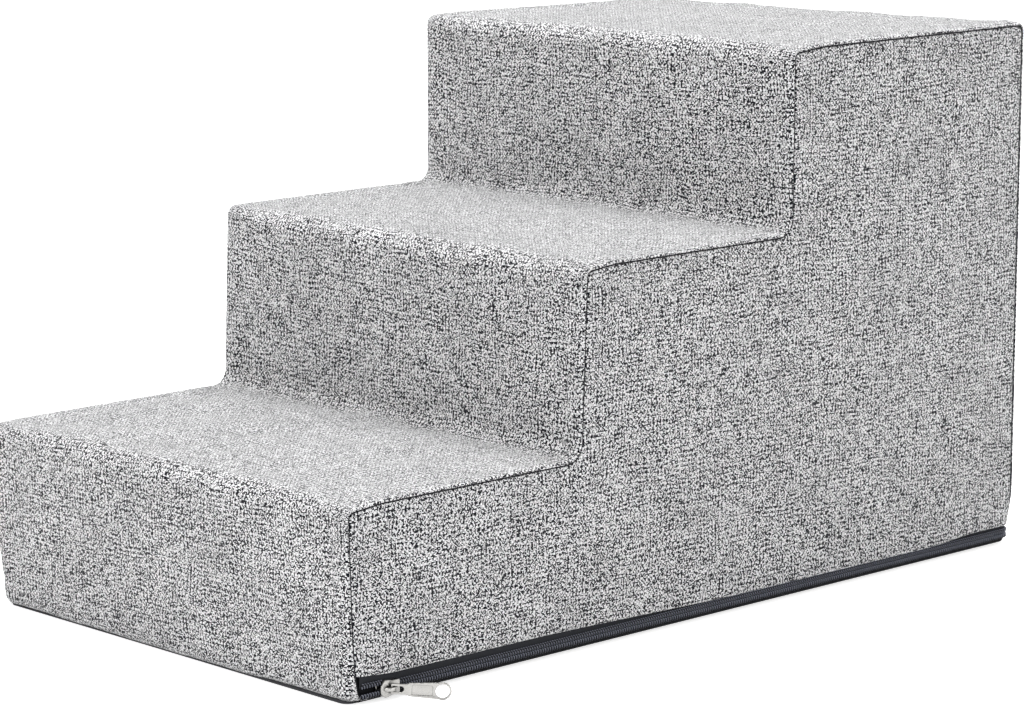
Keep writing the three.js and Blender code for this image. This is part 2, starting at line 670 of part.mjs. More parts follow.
// The sunk field of the panel, on the face that `side` names.
function tabRecess(side) {
  const start = TAB_PANEL_START + TAB_RIM;
  const end = TAB_RING_FROM_PIVOT - TAB_RING_RADIUS - TAB_RIM / 2;
  const half = TAB_PANEL_HALF_WIDTH - TAB_RIM;
  const corner = TAB_RECESS_CORNER;
  const outline = [
    ...arc(start + corner, -half + corner, corner, 180, 270, CORNER_STEPS),
    ...arc(end - corner, -half + corner, corner, 270, 360, CORNER_STEPS),
    ...arc(end - corner, half - corner, corner, 0, 90, CORNER_STEPS),
    ...arc(start + corner, half - corner, corner, 90, 180, CORNER_STEPS),
  ];
  const face = (side * TAB_THICKNESS) / 2;
  const edges = [face - side * TAB_RECESS_DEPTH, face + side];
  return solid(extrudeAcross(outline, Math.min(...edges), Math.max(...edges)));
}

// ---------------------------------------------------------------- materials and assembly

function cloth(colour, roughness = 0.95) {
  return new THREE.MeshStandardMaterial({ color: colour, roughness, metalness: 0 });
}

function nickel() {
  return new THREE.MeshStandardMaterial({ color: 0xc9c8c4, roughness: 0.28, metalness: 1 });
}

function mesh(name, geometry, material) {
  const made = new THREE.Mesh(geometry, material);
  made.name = name;
  return made;
}

const FOAM_COLOUR = 0xe9e4d4;
const LINEN_GREY = 0xa9aaad;
const BASE_BLACK = 0x1c1d20;
const TAPE_BLACK = 0x35383e;
const COIL_BLACK = 0x23252b;

const stair = new THREE.Group();
stair.position.x = -STAIR_LENGTH / 2;

const [lowerFoam, middleFoam, upperFoam] = foamSlabs();
stair.add(mesh("foam_lower_slab", lowerFoam, cloth(FOAM_COLOUR)));
stair.add(mesh("foam_middle_slab", middleFoam, cloth(FOAM_COLOUR)));
stair.add(mesh("foam_upper_slab", upperFoam, cloth(FOAM_COLOUR)));

const nearPanel = sidePanel(-SIDE_PLANE, -SIDE_PLANE + COVER_THICKNESS);
const farPanel = sidePanel(SIDE_PLANE - COVER_THICKNESS, SIDE_PLANE);
const baseFront = FRONT_TUCK + BASE_FRONT_INSET;
const basePanel = footPlate(BASE_INSET, 0, BASE_THICKNESS, baseFront, BASE_FRONT_CORNER_RADIUS);
stair.add(mesh("cover_tread_band", treadBand(), cloth(LINEN_GREY)));
stair.add(mesh("cover_side_panel_right", nearPanel, cloth(LINEN_GREY)));
stair.add(mesh("cover_side_panel_left", farPanel, cloth(LINEN_GREY)));
stair.add(mesh("cover_base_panel", basePanel, cloth(BASE_BLACK, 0.85)));

stair.add(mesh("zip_tape_upper", upperTape(), cloth(TAPE_BLACK, 0.9)));
stair.add(mesh("zip_tape_lower", lowerTape(), cloth(TAPE_BLACK, 0.9)));
stair.add(mesh("zip_coil_upper", chainRow(1), cloth(COIL_BLACK, 0.45)));
stair.add(mesh("zip_coil_lower", chainRow(-1), cloth(COIL_BLACK, 0.45)));

const slider = new THREE.Group();
slider.position.set(SLIDER_CENTRE_X, -SIDE_PLANE, CHAIN_HEIGHT);
slider.add(mesh("zip_slider_body", sliderBody(), nickel()));

const tabHinge = new THREE.Group();
tabHinge.position.y = PIVOT_DEPTH;
tabHinge.rotation.z = THREE.MathUtils.degToRad(-TAB_SWING);
const tab = mesh("zip_pull_tab", pullTab(), nickel());
tab.rotation.y = THREE.MathUtils.degToRad(TAB_DROOP);
tabHinge.add(tab);
slider.add(tabHinge);
stair.add(slider);

const part = new THREE.Group();
part.add(stair);

export default part;
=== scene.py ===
"""The looks of a three-step pet stair: a grey linen cover with soft seams over three foam slabs, and a coil
zip round its foot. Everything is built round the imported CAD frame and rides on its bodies."""

import math

import bmesh
import bpy
import numpy as np
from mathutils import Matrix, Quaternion, Vector


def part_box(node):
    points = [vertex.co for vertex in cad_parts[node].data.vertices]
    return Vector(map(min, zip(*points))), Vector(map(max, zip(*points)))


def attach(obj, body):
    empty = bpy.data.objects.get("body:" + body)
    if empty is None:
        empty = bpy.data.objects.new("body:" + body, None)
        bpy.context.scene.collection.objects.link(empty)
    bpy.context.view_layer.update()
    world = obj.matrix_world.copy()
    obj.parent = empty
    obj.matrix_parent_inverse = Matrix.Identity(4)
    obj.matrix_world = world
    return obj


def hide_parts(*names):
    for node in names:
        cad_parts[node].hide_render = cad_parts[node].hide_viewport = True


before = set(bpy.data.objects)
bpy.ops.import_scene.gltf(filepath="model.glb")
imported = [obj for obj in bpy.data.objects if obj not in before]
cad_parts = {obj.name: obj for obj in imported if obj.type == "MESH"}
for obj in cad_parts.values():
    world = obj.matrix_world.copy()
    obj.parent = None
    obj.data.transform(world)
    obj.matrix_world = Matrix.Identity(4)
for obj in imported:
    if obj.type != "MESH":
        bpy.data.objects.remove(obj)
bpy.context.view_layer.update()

# Lengths are in millimetres until a mesh is made: +X to the rear of the stair, +Z up, -Y the near side.
MM = 0.001

# --- sizes

# The steps, over the cover.
LOWER_TREAD, MIDDLE_TREAD = 178, 177
LOWER_TOP, MIDDLE_TOP = 114, 226

STAIR_LOW, STAIR_HIGH = (np.array(corner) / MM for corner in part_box("cover_tread_band"))
FRONT, REAR = STAIR_LOW[0], STAIR_HIGH[0]
HALF_WIDTH, UPPER_TOP = STAIR_HIGH[1:]
MIDDLE_STEP = FRONT + LOWER_TREAD
UPPER_STEP = MIDDLE_STEP + MIDDLE_TREAD
STEPS = [(FRONT, 0, LOWER_TOP), (MIDDLE_STEP, LOWER_TOP, MIDDLE_TOP), (UPPER_STEP, MIDDLE_TOP, UPPER_TOP)]

# The soft shape. A reach is the distance over which a shift fades out.
# The front is drawn in at its foot, and the middle riser leans back.
FRONT_TUCK, TUCK_REACH = 3.5, 60
MIDDLE_LEAN, LEAN_REACH = 4, 70
# The far ends of the upper two risers lie further back.
RISER_SKEW, SKEW_REACH = (4.5, 2), 80
# The far side has sunk, by so much at the floor and at each tread, and by REAR_SETTLE more at the top's rear.
FAR_SETTLE, REAR_SETTLE = (0, 1.9, 0.6, 4), 2
# The two ends of each nosing droop.
NEAR_DROOP, FAR_DROOP, DROOP_REACH = 2.2, 0.6, 32

# The radii of the corners in the side view. A nosing is sharper at its two ends.
NOSING_RADIUS, NOSING_RADIUS_AT_SEAM, NOSING_BLEND = 11, 6, 45
INNER_RADIUS = 9
REAR_TOP_RADIUS = 11
HEM_RADIUS = 5

# The cover's front foot turns in under the stair, over the base cloth. Its edge rises at both ends, near and
# far, and its near end laps a little way round the corner, most between two heights.
FOOT_HEIGHT, FOOT_DEPTH = 0.5, 40
HEM_UNDER, HEM_OVER_BASE = 11, 0.8
HEM_LIFT, HEM_LIFT_REACH = (2.6, 1.2), 60
FOOT_LAP, FOOT_LAP_REACH, FOOT_LAP_HEIGHTS = 2.6, 9, (4, 20)

# The lower edge of each side: its height at both ends, and how it departs from the line between them. It is
# higher near the front, drops over the upper tape, and takes back a share of the drop where the slider stops.
# Each change is (start, length), measured from the front.
COVER_EDGE_FRONT, COVER_EDGE_REAR = 14.4, 12.9
HEM_RISE, HEM_RISE_ENDS = 0.35, (120, 90)
HEM_DROP, HEM_DROP_STARTS = 3.4, (140, 200)
HEM_CLIMB, HEM_CLIMB_STARTS = 0.84, (484, 54)
HEM_SHIFT_REACH = 45

# Seams between the band and the sides, with a dark cord in each that paints the shade of the seam's fold.
SEAM_INSET, SEAM_ALLOWANCE = 1.7, 13
CLOTH_THICKNESS = 0.9
SEAM_SHADE_RADIUS, SEAM_SHADE_INSET, SEAM_SHADE_DEPTH = 0.42, 0.45, 0.55

# The rounding of the cover's upright corners at its foot: end, which way the stair lies from it, side, reach
# along the side and across the end, and height.
FOOT_CORNERS = [
    (FRONT, 1, -1, 12, 6.5, 70),
    (FRONT, 1, 1, 14, 14, 70),
    (REAR, -1, -1, 11, 11, 45),
    (REAR, -1, 1, 11, 11, 45),
]

# The zip, as in the CAD frame, and how much higher the dressed chain lies, there and where its rows part.
CHAIN_HEIGHT, CHAIN_PITCH = 7.4, 1.91
CHAIN_LIFT, PARTED_LIFT = 0.5, 0.25
TAPE_FACE, TAPE_THICKNESS = 1.5, 0.6
ZIP_START, ZIP_CORNER = FRONT + 10.4, 10.5
SLIDER_NOSE = FRONT + 23

# The width of a cell of cloth, and the cells round a corner.
GRID = 3.2
ARC_STEPS = 8
rng = np.random.default_rng(11)

# --- meshes


def linked(name, data):
    """A new object in the scene."""
    made = bpy.data.objects.new(name, data)
    bpy.context.scene.collection.objects.link(made)
    return made


def make_mesh(name, points, faces, uv=None):
    """A mesh object from points, with each point's flat place in the cloth as uv, all in millimetres."""
    mesh = bpy.data.meshes.new(name)
    mesh.from_pydata((np.asarray(points) * MM).tolist(), [], [tuple(int(i) for i in f) for f in faces])
    if uv is not None:
        layer = mesh.uv_layers.new(name="cloth")
        corners = np.zeros(len(mesh.loops), int)
        mesh.loops.foreach_get("vertex_index", corners)
        layer.uv.foreach_set("vector", np.asarray(uv, np.float32)[corners].ravel())
    mesh.polygons.foreach_set("use_smooth", [True] * len(mesh.polygons))
    mesh.validate()
    mesh.update()
    return linked(name, mesh)


def grid_faces(rows, columns, closed=False):
    """Quads of a grid of points, stored row by row."""
    wrap = columns if closed else columns - 1
    r, c = np.meshgrid(np.arange(rows - 1), np.arange(wrap), indexing="ij")
    a = r * columns + c
    b = r * columns + (c + 1) % columns
    return np.stack([a, b, b + columns, a + columns], -1).reshape(-1, 4)


def tube_faces(rings, size):
    """Faces of a closed tube, made of rings of as many points."""
    last = (rings - 1) * size
    return [*grid_faces(rings, size, closed=True), range(size)[::-1], range(last, last + size)]


def configured(made, **settings):
    for key, value in settings.items():
        setattr(made, key, value)
    return made


def thicken(piece, thickness):
    configured(piece.modifiers.new("thickness", "SOLIDIFY"), thickness=thickness * MM, offset=-1)
    return piece


def unit(v):
    return v / np.linalg.norm(v, axis=-1, keepdims=True)


def run_along(points):
    """How far along a line of points each of them lies."""
    return np.concatenate([[0], np.cumsum(np.linalg.norm(np.diff(points, axis=0), axis=1))])


def tube(points, radius, sides=6, hint=(0, 0, 1)):
    """A closed tube along a line of points. The radius is one number or one for each point, and so is the
    hint, a direction that isn't along the line."""
    points = np.asarray(points, float)
    along = unit(np.gradient(points, axis=0))
    side = unit(np.cross(along, np.broadcast_to(np.asarray(hint, float), points.shape)))
    up = np.cross(side, along)
    turn = np.linspace(0, 2 * math.pi, sides, endpoint=False)
    ring = np.cos(turn)[:, None] * side[:, None] + np.sin(turn)[:, None] * up[:, None]
    radii = np.broadcast_to(radius, len(points))[:, None, None]
    return (points[:, None] + radii * ring).reshape(-1, 3), tube_faces(len(points), sides)


def join_parts(parts):
    """Points and faces of several parts as one."""
    points, faces, count = [], [], 0
    for part_points, part_faces in parts:
        points.append(part_points)
        faces += [[i + count for i in face] for face in part_faces]
        count += len(part_points)
    return np.concatenate(points), faces


def ramp(x, start, length):
    """0 up to the start, and smoothly up to 1 over the length."""
    share = np.clip((x - start) / length, 0, 1)
    return share * share * (3 - 2 * share)


def bell(x, middle, width):
    return np.exp(-(((x - middle) / width) ** 2))


def ripples(points, *kinds, waves=14):
    """A smooth random height at each point. Each kind is a wavelength and a height, and adds plane waves of
    about that length, in all directions."""
    height = np.zeros(len(points))
    for wavelength, amplitude in kinds:
        for _ in range(waves):
            direction = unit(rng.normal(size=3))
            number = 2 * math.pi / (wavelength * rng.uniform(0.7, 1.5))
            wave = np.sin(points @ direction * number + rng.uniform(0, 2 * math.pi))
            height += amplitude / math.sqrt(waves / 2) * wave
    return height


# --- the form of the steps


def rounded(corners, runs):
    """Points (x, z) along a polyline of corners (x, z, radius): ARC_STEPS + 1 points round each inner corner
    and runs[k] pieces on each straight. Also gives each point's place, 1.5 being midway from corner 1 to
    corner 2."""
    at = np.array([corner[:2] for corner in corners], float)
    stretches, places = [at[:1]], [0.0]
    leave = at[0]
    for k in range(1, len(at)):
        if k == len(at) - 1:
            arrive, arc = at[k], at[k : k + 1]
        else:
            back, on = unit(at[k - 1] - at[k]), unit(at[k + 1] - at[k])
            half = math.acos(np.clip(back @ on, -1, 1)) / 2
            radius = max(corners[k][2], 0.3)
            arrive = at[k] + back * radius / math.tan(half)
            depart = at[k] + on * radius / math.tan(half)
            centre = at[k] + unit(back + on) * radius / math.sin(half)
            share = np.linspace(0, 1, ARC_STEPS + 1)[:, None]
            opening = math.pi - 2 * half
            swing = np.sin((1 - share) * opening) * (arrive - centre)
            swing += np.sin(share * opening) * (depart - centre)
            arc = centre + swing / math.sin(opening)
        straight = leave + np.linspace(0, 1, runs[k - 1] + 1)[1:-1, None] * (arrive - leave)
        stretches += [straight, arc]
        places += list(k - 1 + np.linspace(0.06, 0.94, len(straight)))
        places += list(k + np.linspace(-0.06, 0.06, len(arc)) if len(arc) > 1 else [float(k)])
        leave = arc[-1]
    return np.concatenate(stretches), np.array(places)


def step_corners(inset, nosing):
    """The corners of the side view from the lowest nosing to the rear top, inset from the outside."""
    return [
        (FRONT + inset, LOWER_TOP - inset, nosing - inset),
        (MIDDLE_STEP + inset, LOWER_TOP - inset, INNER_RADIUS + inset),
        (MIDDLE_STEP + inset, MIDDLE_TOP - inset, nosing - inset),
        (UPPER_STEP + inset, MIDDLE_TOP - inset, INNER_RADIUS + inset),
        (UPPER_STEP + inset, UPPER_TOP - inset, nosing - inset),
        (REAR - inset, UPPER_TOP - inset, min(nosing, REAR_TOP_RADIUS) - inset),
    ]


def band_path(inset, nosing=NOSING_RADIUS):
    """The band's path (x, z), inset from the outside: from its front hem over the steps to its rear hem."""
    corners = [
        (FRONT + HEM_UNDER, FOOT_HEIGHT + inset + HEM_OVER_BASE, 0),
        (FRONT + inset, FOOT_HEIGHT + inset, HEM_RADIUS - inset),
        *step_corners(inset, nosing),
        (REAR - inset, COVER_EDGE_REAR, 0),
    ]
    return rounded(corners, BAND_RUNS)


def cells_of(*lengths):
    return [round(length / GRID) for length in lengths]


RISERS = (LOWER_TOP, MIDDLE_TOP - LOWER_TOP, UPPER_TOP - MIDDLE_TOP)
TREADS = (LOWER_TREAD, MIDDLE_TREAD, REAR - UPPER_STEP)
STEP_LENGTHS = [length for step in zip(RISERS, TREADS) for length in step]
BAND_RUNS = cells_of(HEM_UNDER, *STEP_LENGTHS, UPPER_TOP)


def leant(points):
    """Tucks the front in at its foot and leans the middle riser back."""
    x, _, z = points.T
    points[:, 0] += FRONT_TUCK * np.clip(1 - z / LOWER_TOP, 0, 1) * (1 - ramp(x, FRONT, TUCK_REACH))
    climb = np.clip((z - LOWER_TOP) / (MIDDLE_TOP - LOWER_TOP), 0, 1)
    points[:, 0] += MIDDLE_LEAN * climb * (1 - ramp(x, MIDDLE_STEP, LEAN_REACH))


def skewed(points):
    """Sets the far ends of the upper two risers back a little."""
    to_far = (points[:, 1] / HALF_WIDTH + 1) / 2
    for step, skew in zip((MIDDLE_STEP, UPPER_STEP), RISER_SKEW):
        points[:, 0] += skew * to_far * (1 - ramp(np.abs(points[:, 0] - step), 0, SKEW_REACH))


def settled(points):
    """Lets the far side of each tread, and the two ends of each nosing, sink a little."""
    x, y, z = points.T
    settle = np.interp(z, [0, LOWER_TOP, MIDDLE_TOP, UPPER_TOP], FAR_SETTLE)
    settle += REAR_SETTLE * ramp(x, UPPER_STEP, REAR - UPPER_STEP) * (z / UPPER_TOP) ** 2
    sink = settle * (y / HALF_WIDTH + 1) / 2
    droop = np.where(y < 0, NEAR_DROOP, FAR_DROOP) * ramp(np.abs(y), HALF_WIDTH - DROOP_REACH, DROOP_REACH)
    for edge, low, top in STEPS:
        middle = (low + top) / 2
        sink += droop * (1 - ramp(x, edge, DROOP_REACH)) * ramp(z, middle, top - middle)
    points[:, 2] -= sink


def foot_rounded(points):
    """Rounds the upright corners of the cover towards its foot, where it is drawn in round the zip."""
    for end, inwards, side, along, across, height in FOOT_CORNERS:
        share = 1 - ramp(points[:, 2], 0, height) + 1e-6
        reach = share[:, None] * [along, across]
        from_corner = np.stack([(points[:, 0] - end) * inwards, HALF_WIDTH - points[:, 1] * side], -1)
        offset = 1 - from_corner / reach
        near = (offset > 0).all(1)
        pull = offset.max(1) / np.maximum(np.linalg.norm(offset, axis=1), 1e-9)
        moved = reach * (1 - offset * pull[:, None])
        points[near, 0] = end + inwards * moved[near, 0]
        points[near, 1] = side * (HALF_WIDTH - moved[near, 1])


def lifted(points):
    """Raises the ends of the front hem, over the black base cloth."""
    x, y, z = points.T
    at_front = (1 - ramp(x, FRONT, FOOT_DEPTH)) * (1 - ramp(z, 0, HEM_LIFT_REACH))
    for side, lift in zip((-1, 1), HEM_LIFT):
        points[:, 2] += lift * at_front * np.clip(side * y / HALF_WIDTH, 0, 1) ** 4


def lapped(points):
    """Carries the cover's edge at the near front foot a little further round, towards the zip's open end."""
    x, y, z = points.T
    low, high = FOOT_LAP_HEIGHTS
    near = (1 - ramp(y, -HALF_WIDTH, FOOT_LAP_REACH)) * (1 - ramp(x, FRONT, FOOT_DEPTH))
    points[:, 0] += FOOT_LAP * near * (1 - ramp(z, 0, high)) * ramp(z, 0, low)


def drawn(points):
    """Points of the plain form, moved to where the drawn-in cover holds them."""
    points = np.array(points, float)
    for move in (foot_rounded, leant, skewed, settled, lifted, lapped):
        move(points)
    return points


# --- the band over the steps

# The band's long edges, from the end that is hidden in the seam outwards, over the roll, and on to the top:
# the distance from the side plane, and the inset.
BAND_EDGE = [
    (2.4, SEAM_INSET + 0.3),
    (1.2, SEAM_INSET + 0.22),
    (0.5, SEAM_INSET + 0.05),
    (0.15, SEAM_INSET - 0.2),
    *(
        (SEAM_INSET * (1 - math.cos(a)), SEAM_INSET * (1 - math.sin(a)))
        for a in np.linspace(0.12, 1.57, 6)[1:]
    ),
]

# The relief of the cloth, as heights over the plain form: the crown of each face, the mark of the seam
# allowance, puckers along the seams, and pulls that fan out from the inner corners. A ripple is a wavelength
# and a height.
BAND_CROWNS = np.array([0, 0.8, 1.6, 0.7, 1.6, 0.7, 1.2, 0.8, 0])
ALLOWANCE_HEIGHT = 0.5
PUCKER_HEIGHT, PUCKER_PITCH, PUCKER_DRIFT = 0.16, 15, 37
PULL_HEIGHT, PULL_RAYS, PULL_DISTANCE, PULL_SPREAD = 0.45, 9, 22, 16
INNER_CORNERS = (3, 5)
BAND_RIPPLES = [(62, 0.35), (24, 0.1)]
PANEL_FULLNESS, PANEL_RIPPLES = 1.1, [(70, 0.4), (26, 0.12)]


def nosing_at(y):
    inwards = ramp(HALF_WIDTH - abs(y), 0, NOSING_BLEND)
    return NOSING_RADIUS_AT_SEAM + (NOSING_RADIUS - NOSING_RADIUS_AT_SEAM) * inwards


def band_stations():
    """Across the band, from -Y to +Y: y, inset and the radius of the nosings there."""
    flat = HALF_WIDTH - BAND_EDGE[-1][0]
    inside = np.linspace(-flat, flat, round(2 * flat / GRID) + 1)[1:-1]
    near = [(-HALF_WIDTH + d, inset) for d, inset in BAND_EDGE]
    stations = near + [(y, 0.0) for y in inside] + [(-y, inset) for y, inset in near[::-1]]
    return [(y, inset, nosing_at(y)) for y, inset in stations]


def band_relief(y, place, length, corner_lengths):
    """The cloth's height over the plain form, from where a point lies across the band and along its path."""
    from_side = HALF_WIDTH - np.abs(y)
    face = np.floor(place).astype(int)
    height = BAND_CROWNS[face] * (1 - np.abs(y / HALF_WIDTH) ** 3) * np.sin(math.pi * (place - face)) ** 0.7
    height += ALLOWANCE_HEIGHT * (1 - ramp(from_side, SEAM_ALLOWANCE - 1.5, 3)) * ramp(from_side, 2, 4)
    flat = np.stack([length, y, np.zeros_like(y)], -1)
    height += ripples(flat, *BAND_RIPPLES) * ramp(from_side, 0, 12)
    pucker = np.sin(2 * math.pi * length / PUCKER_PITCH + 2 * np.sin(length / PUCKER_DRIFT))
    height += PUCKER_HEIGHT * pucker * bell(from_side, 6, 5)
    for corner, corner_length in zip(INNER_CORNERS, corner_lengths):
        for side in (-1, 1):
            dx, dy = length - corner_length, HALF_WIDTH - side * y
            rays = np.sin(PULL_RAYS * np.arctan2(dx, dy) + side + corner)
            height += PULL_HEIGHT * rays * bell(np.hypot(dx, dy), PULL_DISTANCE, PULL_SPREAD)
    return height


def tread_band():
    """The one strip of cloth over all the steps."""
    stations = band_stations()
    columns = [np.insert(band_path(inset, nosing)[0], 1, y, axis=1) for y, inset, nosing in stations]
    grid = np.stack(columns, axis=1)
    rows, across = grid.shape[:2]
    middle, places = band_path(0)
    run = run_along(middle)
    width = run_along(grid[rows // 2])
    width -= width.mean()
    normals = unit(np.cross(np.gradient(grid, axis=0), np.gradient(grid, axis=1))).reshape(-1, 3)
    points = grid.reshape(-1, 3)
    y, length = points[:, 1], np.repeat(run, across)
    relief = band_relief(y, np.repeat(places, across), length, np.interp(INNER_CORNERS, places, run))
    relief *= ramp(HALF_WIDTH - np.abs(y), 0, 2.5)
    surface = drawn(points + normals * relief[:, None])
    uv = np.stack([np.tile(width, rows), length], -1)
    made = make_mesh("cover_band_cloth", surface, grid_faces(rows, across)[:, ::-1], uv)
    return thicken(made, CLOTH_THICKNESS)


band = tread_band()

# --- the side panels

# From the flat of the panel out to the end hidden in the seam: inset and depth behind the side plane.
PANEL_EDGE = [
    (SEAM_INSET + 5.0, 0.0),
    (SEAM_INSET + 3.2, 0.0),
    (SEAM_INSET + 2.15, 0.03),
    (SEAM_INSET + 1.6, 0.14),
    (SEAM_INSET + 1.2, 0.35),
    (SEAM_INSET + 0.95, 0.7),
    (SEAM_INSET + 0.86, 1.3),
]
PANEL_CORNER_RADIUS, PANEL_EDGE_DROP = 1.2, 0.6
OUTLINE_RUN = 12
RELAX_ROUNDS = 400


X_CELLS = cells_of(*TREADS)
Z_CELLS = cells_of(LOWER_TOP - COVER_EDGE_FRONT, *RISERS[1:])
PANEL_CELLS = [cells for pair in zip(Z_CELLS, X_CELLS) for cells in pair] + [sum(Z_CELLS), sum(X_CELLS)]


def panel_loop(inset):
    """The panel's outline at an inset, with as many points on each side as the lattice has cells there."""
    lift = inset - SEAM_INSET - PANEL_EDGE_DROP
    foot = (FRONT + inset, COVER_EDGE_FRONT + lift, PANEL_CORNER_RADIUS)
    heel = (REAR - inset, COVER_EDGE_REAR + lift, PANEL_CORNER_RADIUS)
    corners = [foot, *step_corners(inset, NOSING_RADIUS_AT_SEAM + 0.5), heel]
    wrapped = [corners[-1], *corners, corners[0]]
    points, places = rounded(wrapped, [OUTLINE_RUN] * (len(wrapped) - 1))
    run = run_along(points)
    loop = []
    for k, cells in enumerate(PANEL_CELLS, start=1):
        start, end = np.interp([k, k + 1], places, run)
        at = np.linspace(start, end, cells, endpoint=False)
        loop.append(np.stack([np.interp(at, run, points[:, c]) for c in (0, 1)], -1))
    return np.concatenate(loop)


def lattice_loop():
    """The lattice's boundary as (column, row), in the order of panel_loop."""
    x1, x2, x3 = np.cumsum(X_CELLS)
    z1, z2, z3 = np.cumsum(Z_CELLS)
    corners = [(0, 0), (0, z1), (x1, z1), (x1, z2), (x2, z2), (x2, z3), (x3, z3), (x3, 0), (0, 0)]
    loop = []
    for (ax, az), (bx, bz) in zip(corners, corners[1:]):
        cells = abs(bx - ax) + abs(bz - az)
        for i in range(cells):
            loop.append((ax + (bx - ax) * i // cells, az + (bz - az) * i // cells))
    return loop


def panel_lattice(cells, loop):
    """The lattice's points: its rim on the panel's outline, and the rest relaxed to an even net between."""
    width, height = cells.shape
    used = np.zeros((width + 1, height + 1), bool)
    for dx in (0, 1):
        for dz in (0, 1):
            used[dx : width + dx, dz : height + dz] |= cells
    x_at, z_at = [FRONT, MIDDLE_STEP, UPPER_STEP, REAR], [COVER_EDGE_FRONT, LOWER_TOP, MIDDLE_TOP, UPPER_TOP]
    x_lines = np.interp(np.arange(width + 1), [0, *np.cumsum(X_CELLS)], x_at)
    z_lines = np.interp(np.arange(height + 1), [0, *np.cumsum(Z_CELLS)], z_at)
    grid = np.stack(np.meshgrid(x_lines, z_lines, indexing="ij"), -1)
    fixed = ~used
    for (c, r), point in zip(loop, panel_loop(PANEL_EDGE[0][0])):
        grid[c, r] = point
        fixed[c, r] = True
    for _ in range(RELAX_ROUNDS):
        relaxed = grid.copy()
        relaxed[1:-1, 1:-1] = (grid[2:, 1:-1] + grid[:-2, 1:-1] + grid[1:-1, 2:] + grid[1:-1, :-2]) / 4
        grid = np.where(fixed[..., None], grid, relaxed)
    return grid, used


def panel_sheet():
    """Points (x, z) of one side panel, its faces, and each point's depth behind the side plane."""
    loop = lattice_loop()
    reach = np.repeat(np.cumsum(Z_CELLS), X_CELLS)
    cells = np.arange(sum(Z_CELLS))[None, :] < reach[:, None]
    grid, used = panel_lattice(cells, loop)
    number = np.full(used.shape, -1)
    number[used] = np.arange(used.sum())
    points, depths = [grid[used]], [np.zeros(used.sum())]
    c, r = np.nonzero(cells)
    faces = [np.stack([number[c, r], number[c + 1, r], number[c + 1, r + 1], number[c, r + 1]], -1)]
    inner = np.array([number[c, r] for c, r in loop])
    for inset, depth in PANEL_EDGE[1:]:
        outer = len(np.concatenate(points)) + np.arange(len(loop))
        points.append(panel_loop(inset))
        depths.append(np.full(len(loop), depth))
        faces.append(np.stack([inner, np.roll(inner, -1), np.roll(outer, -1), outer], -1))
        inner = outer
    return np.concatenate(points), np.concatenate(faces), np.concatenate(depths)


def distance_to(points, line):
    """Each point's distance from the nearest point of a line of points."""
    return np.sqrt(((points[:, None] - line[None]) ** 2).sum(-1).min(1))


panel_points, panel_faces, panel_depths = panel_sheet()
from_seam = distance_to(panel_points, panel_loop(SEAM_INSET))


def hem_shift(points):
    """How much higher the lower edge of a side lies than a straight line."""
    x, z = points[:, 0] - FRONT, points[:, 1]
    rise = HEM_RISE * (1 - ramp(x, *HEM_RISE_ENDS))
    drop = HEM_DROP * ramp(x, *HEM_DROP_STARTS) * (1 - HEM_CLIMB * ramp(x, *HEM_CLIMB_STARTS))
    return (rise - drop) * (1 - ramp(z, COVER_EDGE_FRONT, HEM_SHIFT_REACH))


def side_panel(name, side):
    """The cloth of one side, slightly full over the foam."""
    x, z = panel_points.T
    flat = np.stack([x, z, np.full_like(x, side * 50)], -1)
    relief = PANEL_FULLNESS * ramp(from_seam, 0, 70) + ripples(flat, *PANEL_RIPPLES) * ramp(from_seam, 3, 14)
    y = side * (HALF_WIDTH - panel_depths + relief)
    surface = drawn(np.stack([x, y, z + hem_shift(panel_points)], -1))
    faces = panel_faces if side < 0 else panel_faces[:, ::-1]
    made = make_mesh(name, surface, faces, uv=panel_points + [side * 31.0, 7.0])
    return thicken(made, CLOTH_THICKNESS)


right_panel = side_panel("cover_side_cloth_right", -1)
left_panel = side_panel("cover_side_cloth_left", 1)


def seam_shade_cord(name, side):
    """A dark cord at the bottom of a seam, from the front foot on: painted shade for the seam's fold."""
    path, places = band_path(SEAM_INSET + SEAM_SHADE_INSET, NOSING_RADIUS_AT_SEAM)
    line = np.insert(path[places > 0.9], 1, side * (HALF_WIDTH - SEAM_SHADE_DEPTH), axis=1)
    return make_mesh(name, *tube(drawn(line), SEAM_SHADE_RADIUS, hint=(0, 1, 0)))


right_seam_shade = seam_shade_cord("cover_seam_shade_cord_right", -1)
left_seam_shade = seam_shade_cord("cover_seam_shade_cord_left", 1)

# --- the zip

# How far the rows part at the free end and round the slider's diamond.
DIAMOND_REACH, DIAMOND_TAPER, DIAMOND_SPREAD, END_SPREAD = 5.9, 3.6, 1.37, 0.1


def row_spread(x):
    round_diamond = 1 - ramp(x, SLIDER_NOSE + DIAMOND_REACH - DIAMOND_TAPER, DIAMOND_TAPER)
    to_end = 1 - ramp(x, ZIP_START, SLIDER_NOSE - ZIP_START)
    return DIAMOND_SPREAD * round_diamond + END_SPREAD * to_end


def row_middle(spread):
    """The height midway between the rows, which rides up a little where they part."""
    return CHAIN_HEIGHT + CHAIN_LIFT + PARTED_LIFT * spread


def zip_line(step):
    """Stations about one step apart along the zip, round the rear: distance run, point, direction out of the
    stair, and spread of the rows."""
    corner_x, corner_y = REAR - ZIP_CORNER, HALF_WIDTH - ZIP_CORNER
    side, quarter = corner_x - ZIP_START, ZIP_CORNER * math.pi / 2
    ends = np.cumsum([0, side, quarter, 2 * corner_y, quarter, side])
    run = np.linspace(0, ends[-1], round(ends[-1] / step) + 1)
    heading = np.interp(run, ends[1:5], [-math.pi / 2, 0, 0, math.pi / 2])
    out = np.stack([np.cos(heading), np.sin(heading)], -1)
    x = np.interp(run, ends, [ZIP_START, *[corner_x] * 4, ZIP_START])
    y = np.interp(run, ends[2:4], [-corner_y, corner_y])
    spread = np.where(run < side, row_spread(x), 0)
    return run, np.stack([x, y], -1) + ZIP_CORNER * out, out, spread


